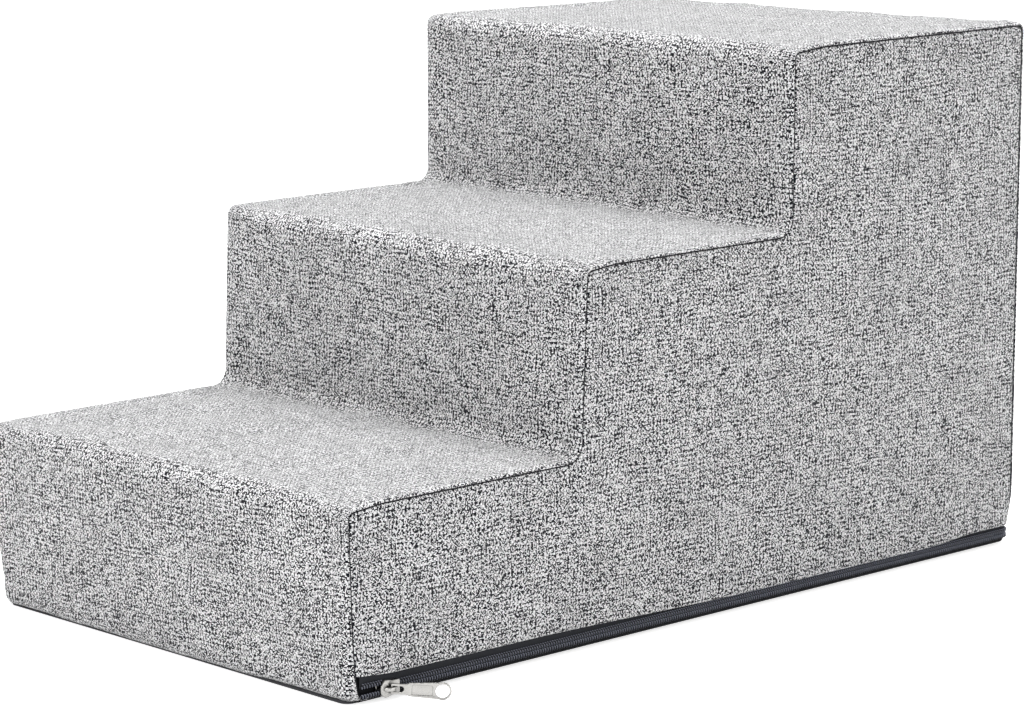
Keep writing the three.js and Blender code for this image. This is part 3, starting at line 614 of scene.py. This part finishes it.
def along_zip(sections, line):
    """A closed tube along the zip, with a section of (depth, z) points per station."""
    _, points, out, _ = line
    depth, z = np.moveaxis(np.array(sections, float), -1, 0)
    places = points[:, None] - depth[..., None] * out[:, None]
    rings = np.concatenate([places, z[..., None]], -1)
    return rings.reshape(-1, 3), tube_faces(*rings.shape[:2])


def arc(x, z, radius, start, end, steps):
    turn = np.radians(np.linspace(start, end, steps + 1))
    return [(x + radius * math.cos(a), z + radius * math.sin(a)) for a in turn]


# The upper tape stands up behind the cover's hem, and the lower one is folded in under the stair.
TAPE_STEP, GIRTH_STEP, TAPE_EDGE, TAPE_TOP = 1.6, 2, 0.45, 20
LEG_END, LEG_LOW = TAPE_FACE + 7.4, 1.9
FOLD_RADIUS, FOLD_STEPS = 1.7, 6


def tape(name, section):
    line = zip_line(TAPE_STEP)
    sections = [section(spread) for spread in line[3]]
    size = len(sections[0])
    girth = np.tile(np.arange(size) * GIRTH_STEP, len(sections))
    uv = np.stack([np.repeat(line[0], size), girth], -1)
    made = make_mesh(name, *along_zip(sections, line), uv)
    for end in made.data.polygons[-2:]:
        end.use_smooth = False
    return made


def upper_tape_section(spread):
    edge = row_middle(spread) + TAPE_EDGE + spread
    front = [(TAPE_FACE, z) for z in np.linspace(edge, TAPE_TOP, 8)]
    return front + [(TAPE_FACE + TAPE_THICKNESS, z) for z in np.linspace(TAPE_TOP, edge, 4)]


def lower_tape_section(spread):
    edge = row_middle(spread) - TAPE_EDGE - spread
    centre = (TAPE_FACE + FOLD_RADIUS, LEG_LOW + FOLD_RADIUS)
    outer = arc(*centre, FOLD_RADIUS, 180, 270, FOLD_STEPS)
    inner = arc(*centre, FOLD_RADIUS - TAPE_THICKNESS, 270, 180, FOLD_STEPS)
    leg = [(LEG_END, LEG_LOW), (LEG_END, LEG_LOW + TAPE_THICKNESS)]
    return [(TAPE_FACE, edge), *outer, *leg, *inner, (TAPE_FACE + TAPE_THICKNESS, edge)]


upper_tape = tape("zip_tape_upper_cloth", upper_tape_section)
lower_tape = tape("zip_tape_lower_cloth", lower_tape_section)

# One row of the chain: how far its middle lies off the zip's middle and behind the side plane, how far its
# turns swing each way, and the radius of its wire, with the share by which the heads are thicker.
COIL_CENTRE, COIL_SWING = 1.62, 1.3
COIL_DEPTH, COIL_DEPTH_SWING = 0.25, 0.6
COIL_WIRE, COIL_HEAD = 0.29, 0.35
TURN_STEPS, WIRE_SIDES = 8, 5
# The corners of the cord inside the turns, by depth and height, wide and dark to paint the shade behind the
# turns, and the line of stitches over them.
SHADE_CORE_CORNERS = [(0.35, -1.15), (0.35, 1.15), (0.7, 1.15), (0.7, -1.15)]
STITCH_RADIUS, STITCH_OFFSET, STITCH_DEPTH, STITCH_SIDES = 0.22, 0.85, -0.47, 4


def coil_row(name, side, slant):
    """One row of the chain: a flat, slanted coil of nylon wire, sewn on over a dark cord that paints the
    shade behind its turns.
    """
    line = zip_line(CHAIN_PITCH / TURN_STEPS)
    run, points, out, spread = line
    row = row_middle(spread) + side * (COIL_CENTRE + spread)
    turn = 2 * math.pi * run / CHAIN_PITCH + (math.pi if side < 0 else 0)
    slanted = np.clip(run + slant * np.sin(turn), 0, run[-1])
    at = np.stack([np.interp(slanted, run, points[:, c]) for c in (0, 1)], -1)
    depth = COIL_DEPTH - COIL_DEPTH_SWING * np.cos(turn)
    wire = np.column_stack([at - depth[:, None] * out, row - COIL_SWING * np.sin(turn)])
    centre = np.column_stack([at - COIL_DEPTH * out, row])
    head = np.clip(side * np.sin(turn), 0, 1) ** 3
    around = tube(wire, COIL_WIRE * (1 + COIL_HEAD * head), WIRE_SIDES, hint=unit(wire - centre + 1e-9))
    every = slice(None, None, 2 * TURN_STEPS)
    sections = [[(d, z + up) for d, up in SHADE_CORE_CORNERS] for z in row[every]]
    shade_core = along_zip(sections, [part[every] for part in line])
    stitches = np.column_stack([points - STITCH_DEPTH * out, row + side * STITCH_OFFSET])[::2]
    made = make_mesh(name, *join_parts([around, shade_core, tube(stitches, STITCH_RADIUS, STITCH_SIDES)]))
    # The cord, which is painted shade, and the stitches take the charcoal material.
    sewn = np.arange(len(made.data.polygons)) >= len(around[1])
    made.data.polygons.foreach_set("material_index", sewn.astype(np.int32))
    return made


upper_coil = coil_row("zip_coil_upper_turns", 1, 0.2)
lower_coil = coil_row("zip_coil_lower_turns", -1, -0.4)

# The stay, a black sheet that paints the shade in the gap behind the zip's open end, runs from the zip's
# start, or further forward high up, to behind the slider.
STAY_HEIGHTS, STAY_DEPTH, STAY_THICKNESS = (2.2, 17.5), 3.7, 0.3
STAY_LEAD, STAY_LEAD_FROM, STAY_TAIL = 4.5, (8, 5), 12
STAY_WAVE, STAY_GRID = 0.08, (14, 10)


def end_shade_stay():
    """The tape ends turned under behind the open end of the zip, made black to paint the shade in the gap
    there.
    """
    along, z = np.linspace(0, 1, STAY_GRID[0]), np.linspace(*STAY_HEIGHTS, STAY_GRID[1])
    along, z = (part.ravel() for part in np.meshgrid(along, z, indexing="ij"))
    start = ZIP_START - STAY_LEAD * ramp(z, *STAY_LEAD_FROM)
    x = start + (SLIDER_NOSE + STAY_TAIL - start) * along
    y = -HALF_WIDTH + STAY_DEPTH + STAY_WAVE * np.sin(x) * np.cos(z)
    uv = np.stack([x, z], -1)
    made = make_mesh("zip_end_shade_stay", np.stack([x, y, z], -1), grid_faces(*STAY_GRID), uv)
    return thicken(made, STAY_THICKNESS)


shade_stay = end_shade_stay()

# --- the base

# The base cloth, inside the zip's line. Its edges are eased.
BASE_INSET, BASE_FRONT_INSET = 7.5, FRONT_TUCK + 2.4
BASE_RADIUS, BASE_FRONT_RADIUS = 4.5, 6
BASE_LOW, BASE_HIGH, BASE_EASE, BASE_ROUND = 0.27, 0.8, 0.5, 0.15
BASE_LIFT, OUTLINE_STEPS = 0.8, 8

# The dots: a dot's rings as (radius, height), and the bare margins round them all.
DOT_PITCH, DOT_ROW_PITCH, DOT_RADIUS, DOT_SIDES = 9, 9 * 0.866, 1.5, 8
DOT_RINGS = [(DOT_RADIUS, 0.4), (DOT_RADIUS * 0.92, 0.16), (DOT_RADIUS * 0.6, 0.04)]
DOT_MARGIN, DOT_FRONT_MARGIN = 18, 22


def foot_outline():
    """The outline (x, y) of the base cloth, following the zip."""
    rear, side, front = REAR - BASE_INSET, HALF_WIDTH - BASE_INSET, FRONT + BASE_FRONT_INSET
    rear_r, front_r = BASE_RADIUS, BASE_FRONT_RADIUS
    corners = [
        (front + front_r, -side + front_r, front_r),
        (rear - rear_r, -side + rear_r, rear_r),
        (rear - rear_r, side - rear_r, rear_r),
        (front + front_r, side - front_r, front_r),
    ]
    turns = (180, 270, 360, 450)
    return np.concatenate([arc(*c, turn, turn + 90, OUTLINE_STEPS) for c, turn in zip(corners, turns)])


def base_cloth():
    """The dark non-slip cloth under the stair, lifted at its front corners."""
    outline = foot_outline()
    inwards = unit(outline.mean(0) - outline)
    hem = np.insert(outline, 2, 0, axis=1)
    lifted(hem)
    lift = hem[:, 2] * BASE_LIFT
    lower = [(BASE_EASE, BASE_LOW), (0, BASE_LOW + BASE_ROUND)]
    rings = lower + [(0, BASE_HIGH - BASE_ROUND + lift), (BASE_EASE, BASE_HIGH + lift)]
    points = np.concatenate([np.insert(outline + inwards * inset, 2, z, axis=1) for inset, z in rings])
    uv = np.tile(outline, (len(rings), 1))
    return make_mesh("cover_base_cloth", points, tube_faces(len(rings), len(outline)), uv)


def base_dots():
    """Rubber dots under the base cloth: low domes in staggered rows."""
    turns = np.linspace(0, 2 * math.pi, DOT_SIDES, endpoint=False)
    rims = [(r * math.cos(a), r * math.sin(a), z) for r, z in DOT_RINGS for a in turns]
    dome = np.array([*rims, (0, 0, 0)])
    tip = len(rims)
    last = tip - DOT_SIDES
    faces = [*grid_faces(len(DOT_RINGS), DOT_SIDES, closed=True)[:, ::-1], range(DOT_SIDES)]
    faces[-1:-1] = [(last + (i + 1) % DOT_SIDES, last + i, tip) for i in range(DOT_SIDES)]
    parts = []
    rows = np.arange(FRONT + DOT_FRONT_MARGIN, REAR - DOT_MARGIN, DOT_ROW_PITCH)
    for row, x in enumerate(rows):
        start = -HALF_WIDTH + DOT_MARGIN + DOT_PITCH / 2 * (row % 2)
        parts += [(dome + [x, y, 0], faces) for y in np.arange(start, HALF_WIDTH - DOT_MARGIN + 1, DOT_PITCH)]
    return make_mesh("cover_base_dots", *join_parts(parts))


base = base_cloth()
dots = base_dots()

# --- foam and metal

FOAM_CELL, FOAM_SOFTENING, FOAM_CLEARANCE = 4, 4, 1.2
METAL_EDGE, METAL_WELD = 0.14, 0.004
NOSE_LENGTH, NOSE_SHARE, NOSE_CUTS = 7, 0.86, 6


def copy_of(node, name):
    """A piece with the shape of a solid, without its material."""
    made = linked(name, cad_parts[node].data.copy())
    made.data.materials.clear()
    return made


def foam_block(node, name):
    """A slab of foam with soft edges, in the space of its solid."""
    made = copy_of(node, name)
    places = np.array([v.co for v in made.data.vertices]) / MM
    for move in (foot_rounded, skewed, settled):
        move(places)
    made.data.vertices.foreach_set("co", (places * MM).ravel())
    configured(made.modifiers.new("cells", "REMESH"), mode="VOXEL", voxel_size=FOAM_CELL * MM)
    configured(made.modifiers.new("soften", "SMOOTH"), iterations=FOAM_SOFTENING, factor=0.5)
    configured(made.modifiers.new("clearance", "DISPLACE"), strength=-FOAM_CLEARANCE * MM, mid_level=0)
    return made


LEVELS = ("lower", "middle", "upper")
foams = [foam_block(f"foam_{level}_slab", f"foam_{level}_block") for level in LEVELS]


def polished(node, name):
    """A metal part with its edges eased, in the place of its CAD node."""
    made = copy_of(node, name)
    configured(made.modifiers.new("weld", "WELD"), merge_threshold=METAL_WELD * MM)
    ease = configured(made.modifiers.new("edges", "BEVEL"), width=METAL_EDGE * MM, segments=2)
    configured(ease, limit_method="ANGLE", angle_limit=math.radians(32), harden_normals=True)
    made.data.polygons.foreach_set("use_smooth", [True] * len(made.data.polygons))
    return made


def round_nose(piece):
    """Rounds the open end of the slider, seen from its face, into a half ellipse."""
    shape = bmesh.new()
    shape.from_mesh(piece.data)
    nose = min(v.co.x for v in shape.verts)
    for cut in range(1, NOSE_CUTS + 1):
        every = shape.verts[:] + shape.edges[:] + shape.faces[:]
        at = (nose + NOSE_LENGTH * MM * cut / (NOSE_CUTS + 0.5), 0, 0)
        bmesh.ops.bisect_plane(shape, geom=every, dist=1e-7, plane_co=at, plane_no=(1, 0, 0))
    middle = CHAIN_HEIGHT * MM
    for v in shape.verts:
        share = max(0.0, 1 - (v.co.x - nose) / (NOSE_LENGTH * MM)) * NOSE_SHARE
        v.co.z = middle + (v.co.z - middle) * math.sqrt(1 - share**2)
    shape.to_mesh(piece.data)
    shape.free()


slider = polished("zip_slider_body", "zip_slider_metal")
round_nose(slider)
pull = polished("zip_pull_tab", "zip_pull_metal")

# --- materials


class Nodes:
    """The node tree of a material or of the world, with short ways to add to it."""

    def __init__(self, owner):
        self.owner = owner
        owner.use_nodes = True
        self.tree = owner.node_tree
        self.shader = self.tree.nodes.get("Principled BSDF")

    def add(self, kind, **settings):
        return configured(self.tree.nodes.new("ShaderNode" + kind), **settings)

    def feed(self, socket, value):
        if isinstance(value, bpy.types.NodeSocket):
            self.tree.links.new(value, socket)
        else:
            socket.default_value = value

    def made(self, kind, values, output=0, **settings):
        """The output of a new node, with values for its first inputs or for the ones named."""
        node = self.add(kind, **settings)
        for key, value in values.items() if isinstance(values, dict) else enumerate(values):
            self.feed(node.inputs[key], value)
        return node.outputs[output]

    def finish(self, colour, **settings):
        """The material, with the shader's sockets set. Their names have _ for each space."""
        for name, value in {"Base Color": colour, **settings}.items():
            self.feed(self.shader.inputs[name.replace("_", " ")], value)
        return self.owner

    def math(self, operation, *values):
        return self.made("Math", values, operation=operation)

    def times(self, a, b):
        return self.math("MULTIPLY", a, b)

    def plus(self, value, other, times):
        """A value and so many times another."""
        return self.math("MULTIPLY_ADD", other, times, value)

    def mix(self, factor, a, b):
        return self.made("Mix", {0: factor, 2: a, 3: b}, data_type="FLOAT")

    def blend(self, factor, a, b, mode="MIX"):
        return self.made("Mix", {0: factor, 6: a, 7: b}, 2, data_type="RGBA", blend_type=mode)

    def shaded(self, colour, shade):
        return self.blend(1.0, colour, self.vector(shade, shade, shade), "MULTIPLY")

    def vector(self, x, y, z=0.0):
        return self.made("CombineXYZ", (x, y, z))

    def noise(self, vector, scale, detail=2.0, roughness=0.5):
        values = {"Vector": vector, "Scale": scale, "Detail": detail, "Roughness": roughness}
        return self.made("TexNoise", values)

    def remap(self, value, low, high, to_low=0.0, to_high=1.0, smooth=False):
        kind = "SMOOTHSTEP" if smooth else "LINEAR"
        return self.made("MapRange", (value, low, high, to_low, to_high), interpolation_type=kind)

    def place(self):
        return self.add("TexCoord").outputs["Object"]

    def cloth_place(self):
        uv = self.add("UVMap", uv_map="cloth").outputs[0]
        u = self.made("SeparateXYZ", [uv])
        return u, u.node.outputs[1]

    def closeness(self, distance, **settings):
        """How free the surface is of other surfaces within a distance."""
        return self.made("AmbientOcclusion", {"Distance": distance * MM}, "AO", samples=8, **settings)

    def bump(self, height, distance, strength):
        values = {"Strength": strength, "Distance": distance * MM, "Height": height}
        self.feed(self.shader.inputs["Normal"], self.made("Bump", values))

    def seen(self):
        """1 for a camera ray, a mirror ray or a ray through glass, and 0 for light that falls on things."""
        rays = self.add("LightPath").outputs
        mirrored = self.math("MAXIMUM", rays["Is Camera Ray"], rays["Is Glossy Ray"])
        return self.math("MAXIMUM", mirrored, rays["Is Transmission Ray"])


def new_material(name):
    return Nodes(bpy.data.materials.new(name))


# The width of a thread, how crooked threads run and how far the weave is skewed, in threads, and how much
# lower a thread lies between pairs.
THREAD_PITCH, THREAD_CROOK, WEAVE_SKEW, PAIR_GAP = 0.6875, 0.3, 6.0, 0.35
# A thread is charcoal below one tone and near-white above the other. The weft gets whiter than the warp.
DARK_TONE, PALE_TONE = 0.3, 0.42
WARP_WHITE, WEFT_WHITE = 0.69, 0.92


def weave(n, u, v):
    """A basket weave, two threads over two: how high the upper thread stands, whether that is the weft, and
    the tones of the warp and of the weft, which run in streaks and change from pair to pair and at
    crossings."""

    def over_and_down(place):
        return n.math("SINE", n.times(n.math("FRACT", place), math.pi))

    def stretched_noise(x, x_scale, y, y_scale, z, detail=1.5):
        return n.noise(n.vector(n.times(x, x_scale), n.times(y, y_scale), z), 1.0, detail)

    def alternating(pair):
        return n.plus(-1.0, n.math("FLOORED_MODULO", n.math("FLOOR", pair), 2.0), 2.0)

    def thread_place(place, crook, z):
        """Where a point lies across the threads, counted in threads."""
        straight = n.plus(n.math("DIVIDE", place, THREAD_PITCH), crook, THREAD_CROOK)
        return n.plus(straight, n.noise(n.vector(u, v, z), 0.035, 0.0), WEAVE_SKEW)

    def thread_height(place, on_own_pairs, on_other_pairs):
        bowed = n.times(over_and_down(place), n.plus(0.6, on_other_pairs, 0.4))
        return n.times(bowed, n.plus(1 - PAIR_GAP, on_own_pairs, PAIR_GAP))

    def tone(start, *shares):
        for value, times in shares:
            start = n.plus(start, value, times)
        return start

    across = thread_place(u, stretched_noise(u, 0.3, v, 0.7, 0.0, 1.0), 3.0)
    along = thread_place(v, stretched_noise(u, 0.7, v, 0.3, 9.0, 1.0), 7.0)
    warp, weft = n.math("FLOOR", across), n.math("FLOOR", along)
    warp_pair, weft_pair = n.times(across, 0.5), n.times(along, 0.5)
    pairs = n.math("ADD", n.math("FLOOR", warp_pair), n.math("FLOOR", weft_pair))
    over = n.math("FLOORED_MODULO", pairs, 2.0)
    on_warps, on_wefts = over_and_down(warp_pair), over_and_down(weft_pair)
    warp_high = thread_height(across, on_warps, on_wefts)
    weft_high = thread_height(along, on_wefts, on_warps)
    crossing = n.made("TexWhiteNoise", {"Vector": n.vector(warp, weft)}, "Value", noise_dimensions="3D")
    patch = n.plus(-1.0, n.math("GREATER_THAN", stretched_noise(u, 0.06, v, 0.06, 80.0, 1.0), 0.5), 2.0)
    warp_tone = tone(
        -1.050,
        (crossing, 0.9),
        (stretched_noise(warp, 7.31, v, 1.2, 0.0), 0.5),
        (stretched_noise(warp, 3.77, v, 0.1, 20.0, 1.0), 1.35),
        (alternating(warp_pair), 0.05),
    )
    weft_tone = tone(
        -0.727,
        (crossing, 1.0),
        (stretched_noise(u, 1.2, weft, 5.17, 40.0), 0.5),
        (stretched_noise(u, 0.1, weft, 3.13, 60.0, 1.0), 0.85),
        (n.times(patch, alternating(weft_pair)), 0.2),
    )
    return n.mix(over, warp_high, weft_high), over, warp_tone, weft_tone


def linen():
    """Linen look: near-white and charcoal yarns in an open basket weave, with painted shade in the gaps
    between the threads.
    """
    n = new_material("linen_grey_cloth")
    u, v = n.cloth_place()
    height, over, warp_tone, weft_tone = weave(n, u, v)
    warp_shade = n.remap(warp_tone, DARK_TONE, PALE_TONE, 0.0, WARP_WHITE, smooth=True)
    weft_shade = n.remap(weft_tone, DARK_TONE, PALE_TONE, 0.0, WEFT_WHITE, smooth=True)
    cloud = n.remap(n.noise(n.vector(u, v), 0.02), 0.3, 0.7, 0.95, 1.05)
    # Painted shade: the colour is darkened where a thread lies low, in the gaps between threads and between
    # pairs.
    gap_shade = n.remap(height, 0.12, 0.5, 0.05, 1.0, smooth=True)
    yarn = n.blend(n.mix(over, warp_shade, weft_shade), (0.0, 0.0, 0.004, 1), (1.0, 1.0, 1.01, 1))
    n.bump(height, 0.25, 0.8)
    colour = n.shaded(yarn, n.times(gap_shade, cloud))
    return n.finish(colour, Roughness=0.9, Specular_IOR_Level=0.2, Sheen_Weight=0.5, Sheen_Roughness=0.3)


def tape_cloth(name, dark, pale):
    """Tightly woven polyester tape: slanted ribs of fine threads."""
    n = new_material(name)
    u, v = n.cloth_place()
    rib = n.math("SINE", n.times(n.math("ADD", u, v), 2 * math.pi / 0.9))
    fine = n.math("SINE", n.times(u, 2 * math.pi / 0.5))
    height = n.times(n.remap(rib, -1, 1), n.remap(fine, -1, 1, 0.7, 1.0))
    fibre = n.noise(n.vector(u, v), 1.2, 3.0)
    tone = n.times(height, n.remap(fibre, 0.3, 0.7, 0.6, 1.0))
    n.bump(height, 0.1, 0.7)
    return n.finish(n.blend(tone, dark, pale), Roughness=0.8, Specular_IOR_Level=0.12)


def fine_grained(name, scale, dark, pale, roughness, depth, strength, **settings):
    """A finish mottled by one fine noise. Its roughness is one number or a range."""
    n = new_material(name)
    grain = n.noise(n.place(), scale)
    if isinstance(roughness, tuple):
        roughness = n.remap(grain, 0.3, 0.7, *roughness)
    n.bump(grain, depth, strength)
    return n.finish(n.blend(grain, dark, pale), Roughness=roughness, **settings)


def base_fabric():
    """Black non-woven base cloth: short matted fibres."""
    n = new_material("base_black_cloth")
    u, v = n.cloth_place()
    long_fibre = n.noise(n.vector(n.times(u, 0.35), v), 1.6, 3.0)
    short_fibre = n.noise(n.vector(u, n.times(v, 0.3)), 1.9, 3.0)
    felt = n.times(n.math("ADD", long_fibre, short_fibre), 0.5)
    n.bump(felt, 0.2, 0.8)
    return n.finish(n.blend(felt, (0.006, 0.006, 0.008, 1), (0.04, 0.041, 0.046, 1)), Roughness=0.88)


def nickel():
    """Bright plated metal with polishing lines and small dull marks, with painted shade in its nooks and
    along its rims.
    """
    n = new_material("nickel_plate_metal")
    place = n.place()
    stretched = n.made("Mapping", {"Vector": place, "Scale": (200, 200, 2600)})
    lines = n.noise(stretched, 1.0, 3.0)
    marks = n.noise(place, 420, 4.0, 0.6)
    # Painted shade: the colour is darkened where other surfaces lie near, in the nooks and along the rims.
    nook_shade = n.remap(n.closeness(1.6), 0.35, 0.95, 0.1, 1.0)
    rim_shade = n.remap(n.closeness(0.3, inside=True), 0.45, 0.95, 0.4, 1.0)
    bright = n.blend(marks, (0.29, 0.286, 0.278, 1), (0.42, 0.412, 0.396, 1))
    roughness = n.remap(n.math("ADD", lines, marks), 0.7, 1.3, 0.16, 0.38)
    n.bump(n.plus(lines, marks, 2.0), 0.01, 0.5)
    return n.finish(n.shaded(bright, n.times(nook_shade, rim_shade)), Metallic=1.0, Roughness=roughness)


def foam():
    """Open-cell foam, pale cream, with fine pores."""
    n = new_material("foam_cream")
    place = n.place()
    pore = n.remap(n.made("TexVoronoi", {"Vector": place, "Scale": 700}, "Distance"), 0.1, 0.6)
    n.bump(pore, 0.5, 0.8)
    colour = n.blend(n.noise(place, 18, 3.0), (0.74, 0.70, 0.56, 1), (0.84, 0.81, 0.7, 1))
    return n.finish(colour, Roughness=0.95)


SLATE = (0.008, 0.0085, 0.0105, 1), (0.046, 0.048, 0.055, 1)
# A darker copy of the slate: painted shade for the lower tape, folded under the stair, and for the end stay.
SHADED_SLATE = (0.002, 0.002, 0.0026, 1), (0.01, 0.0105, 0.0125, 1)
NYLON = (0.06, 0.065, 0.085, 1), (0.17, 0.18, 0.23, 1)
# Charcoal: real thread for the coil's stitches, and painted shade in the seam cords and the coil's cords.
CHARCOAL = (0.004, 0.004, 0.005, 1), (0.03, 0.03, 0.034, 1)
RUBBER = (0.01, 0.01, 0.011, 1), (0.035, 0.035, 0.037, 1)

cloth = linen()
slate_tape = tape_cloth("zip_tape_slate", *SLATE)
shaded_tape = tape_cloth("zip_tape_painted_shade", *SHADED_SLATE)
nylon = fine_grained("zip_coil_nylon", 900, *NYLON, (0.28, 0.45), 0.03, 0.5)
thread = fine_grained("charcoal_thread_and_painted_shade", 1800, *CHARCOAL, 0.85, 0.08, 0.6, Specular_IOR_Level=0.1)
felt = base_fabric()
rubber = fine_grained("base_dot_rubber", 500, *RUBBER, (0.5, 0.7), 0.05, 0.4)
metal = nickel()
cream = foam()

# --- what each piece is and rides on

# Each piece, its body, the solid that it replaces, its slot and its materials.
PIECES = [
    (band, "stair", "cover_tread_band", "linen_cloth", cloth),
    (right_panel, "stair", "cover_side_panel_right", "linen_cloth", cloth),
    (left_panel, "stair", "cover_side_panel_left", "linen_cloth", cloth),
    (right_seam_shade, "stair", None, "linen_cloth", thread),
    (left_seam_shade, "stair", None, "linen_cloth", thread),
    (base, "stair", "cover_base_panel", "base_cloth", felt),
    (dots, "stair", None, "base_cloth", rubber),
    (upper_tape, "stair", "zip_tape_upper", "zip_tape", slate_tape),
    # The lower tape and the stay wear the darker copy of the slate: painted shade.
    (lower_tape, "stair", "zip_tape_lower", "zip_tape", shaded_tape),
    (shade_stay, "stair", None, "zip_tape", shaded_tape),
    (upper_coil, "stair", "zip_coil_upper", "zip_coil", nylon, thread),
    (lower_coil, "stair", "zip_coil_lower", "zip_coil", nylon, thread),
    *((piece, "stair", f"foam_{level}_slab", "foam", cream) for piece, level in zip(foams, LEVELS)),
    (slider, "zip_slider", "zip_slider_body", "nickel_plate", metal),
    (pull, "pull_tab", "zip_pull_tab", "nickel_plate", metal),
]
for piece, body, solid, slot, *materials in PIECES:
    for material in materials:
        piece.data.materials.append(material)
    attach(piece, body)
    if solid:
        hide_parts(solid)

# --- floor, lights and camera

# From here on, lengths are in metres.
FLOOR_SIZE, FLOOR_GLOW = 30, 0.72
AMBIENT, BACKDROP = 0.7, 1.0

floor_mesh = bpy.data.meshes.new("floor")
floor_corners = [(x * FLOOR_SIZE, y * FLOOR_SIZE, 0) for x, y in ((-1, -1), (1, -1), (1, 1), (-1, 1))]
floor_mesh.from_pydata(floor_corners, [], [(0, 1, 2, 3)])
floor = linked("floor", floor_mesh)


def floor_material():
    """Pale and matt, with a glow that only the camera and reflections see."""
    n = new_material("floor_white")
    n.finish((0.8, 0.8, 0.8, 1), Roughness=1.0, Specular_IOR_Level=0.0)
    glow = n.made("Emission", {"Color": (1, 1, 1, 1), "Strength": n.times(n.seen(), FLOOR_GLOW)})
    both = n.made("AddShader", (n.shader.outputs[0], glow))
    n.feed(n.tree.nodes["Material Output"].inputs["Surface"], both)
    return n.owner


floor.data.materials.append(floor_material())

world = Nodes(bpy.data.worlds.new("studio"))
bpy.context.scene.world = world.owner
background = world.tree.nodes["Background"].inputs
world.feed(background["Color"], (1, 1, 1, 1))
world.feed(background["Strength"], world.mix(world.seen(), AMBIENT, BACKDROP))


def aimed(name, data, at, direction, roll=0.0):
    """A lamp or camera at a point, looking in a direction."""
    turn = direction.to_track_quat("-Z", "Y") @ Quaternion((0, 0, 1), roll)
    return configured(linked(name, data), location=at, rotation_mode="QUATERNION", rotation_quaternion=turn)


def area_light(name, at, aim, size, power):
    light = configured(bpy.data.lights.new(name, "AREA"), shape="DISK", size=size, energy=power)
    aimed(name, light, at, Vector(aim) - Vector(at))


area_light("overhead", (0.1, 0.3, 2.6), (0.0, 0.0, 0.2), 1.8, 86)
area_light("side_fill", (0.6, -2.6, 1.1), (0.0, 0.0, 0.15), 1.6, 22)
area_light("front_fill", (-2.7, -0.5, 0.8), (0.0, 0.0, 0.15), 1.6, 28)

CAMERA_AT = (-1.612, -1.6795, 0.575)
AZIMUTH, ELEVATION, ROLL = (math.radians(angle) for angle in (46.29, 10.69, 0.05))
LENS, SENSOR_WIDTH = 134.2, 36

level = math.cos(ELEVATION)
ahead = (level * math.cos(AZIMUTH), level * math.sin(AZIMUTH), -math.sin(ELEVATION))
lens = configured(bpy.data.cameras.new("camera"), lens=LENS, sensor_width=SENSOR_WIDTH)
bpy.context.scene.camera = aimed("camera", lens, CAMERA_AT, Vector(ahead), ROLL)

bpy.context.scene.view_settings.view_transform = "Standard"
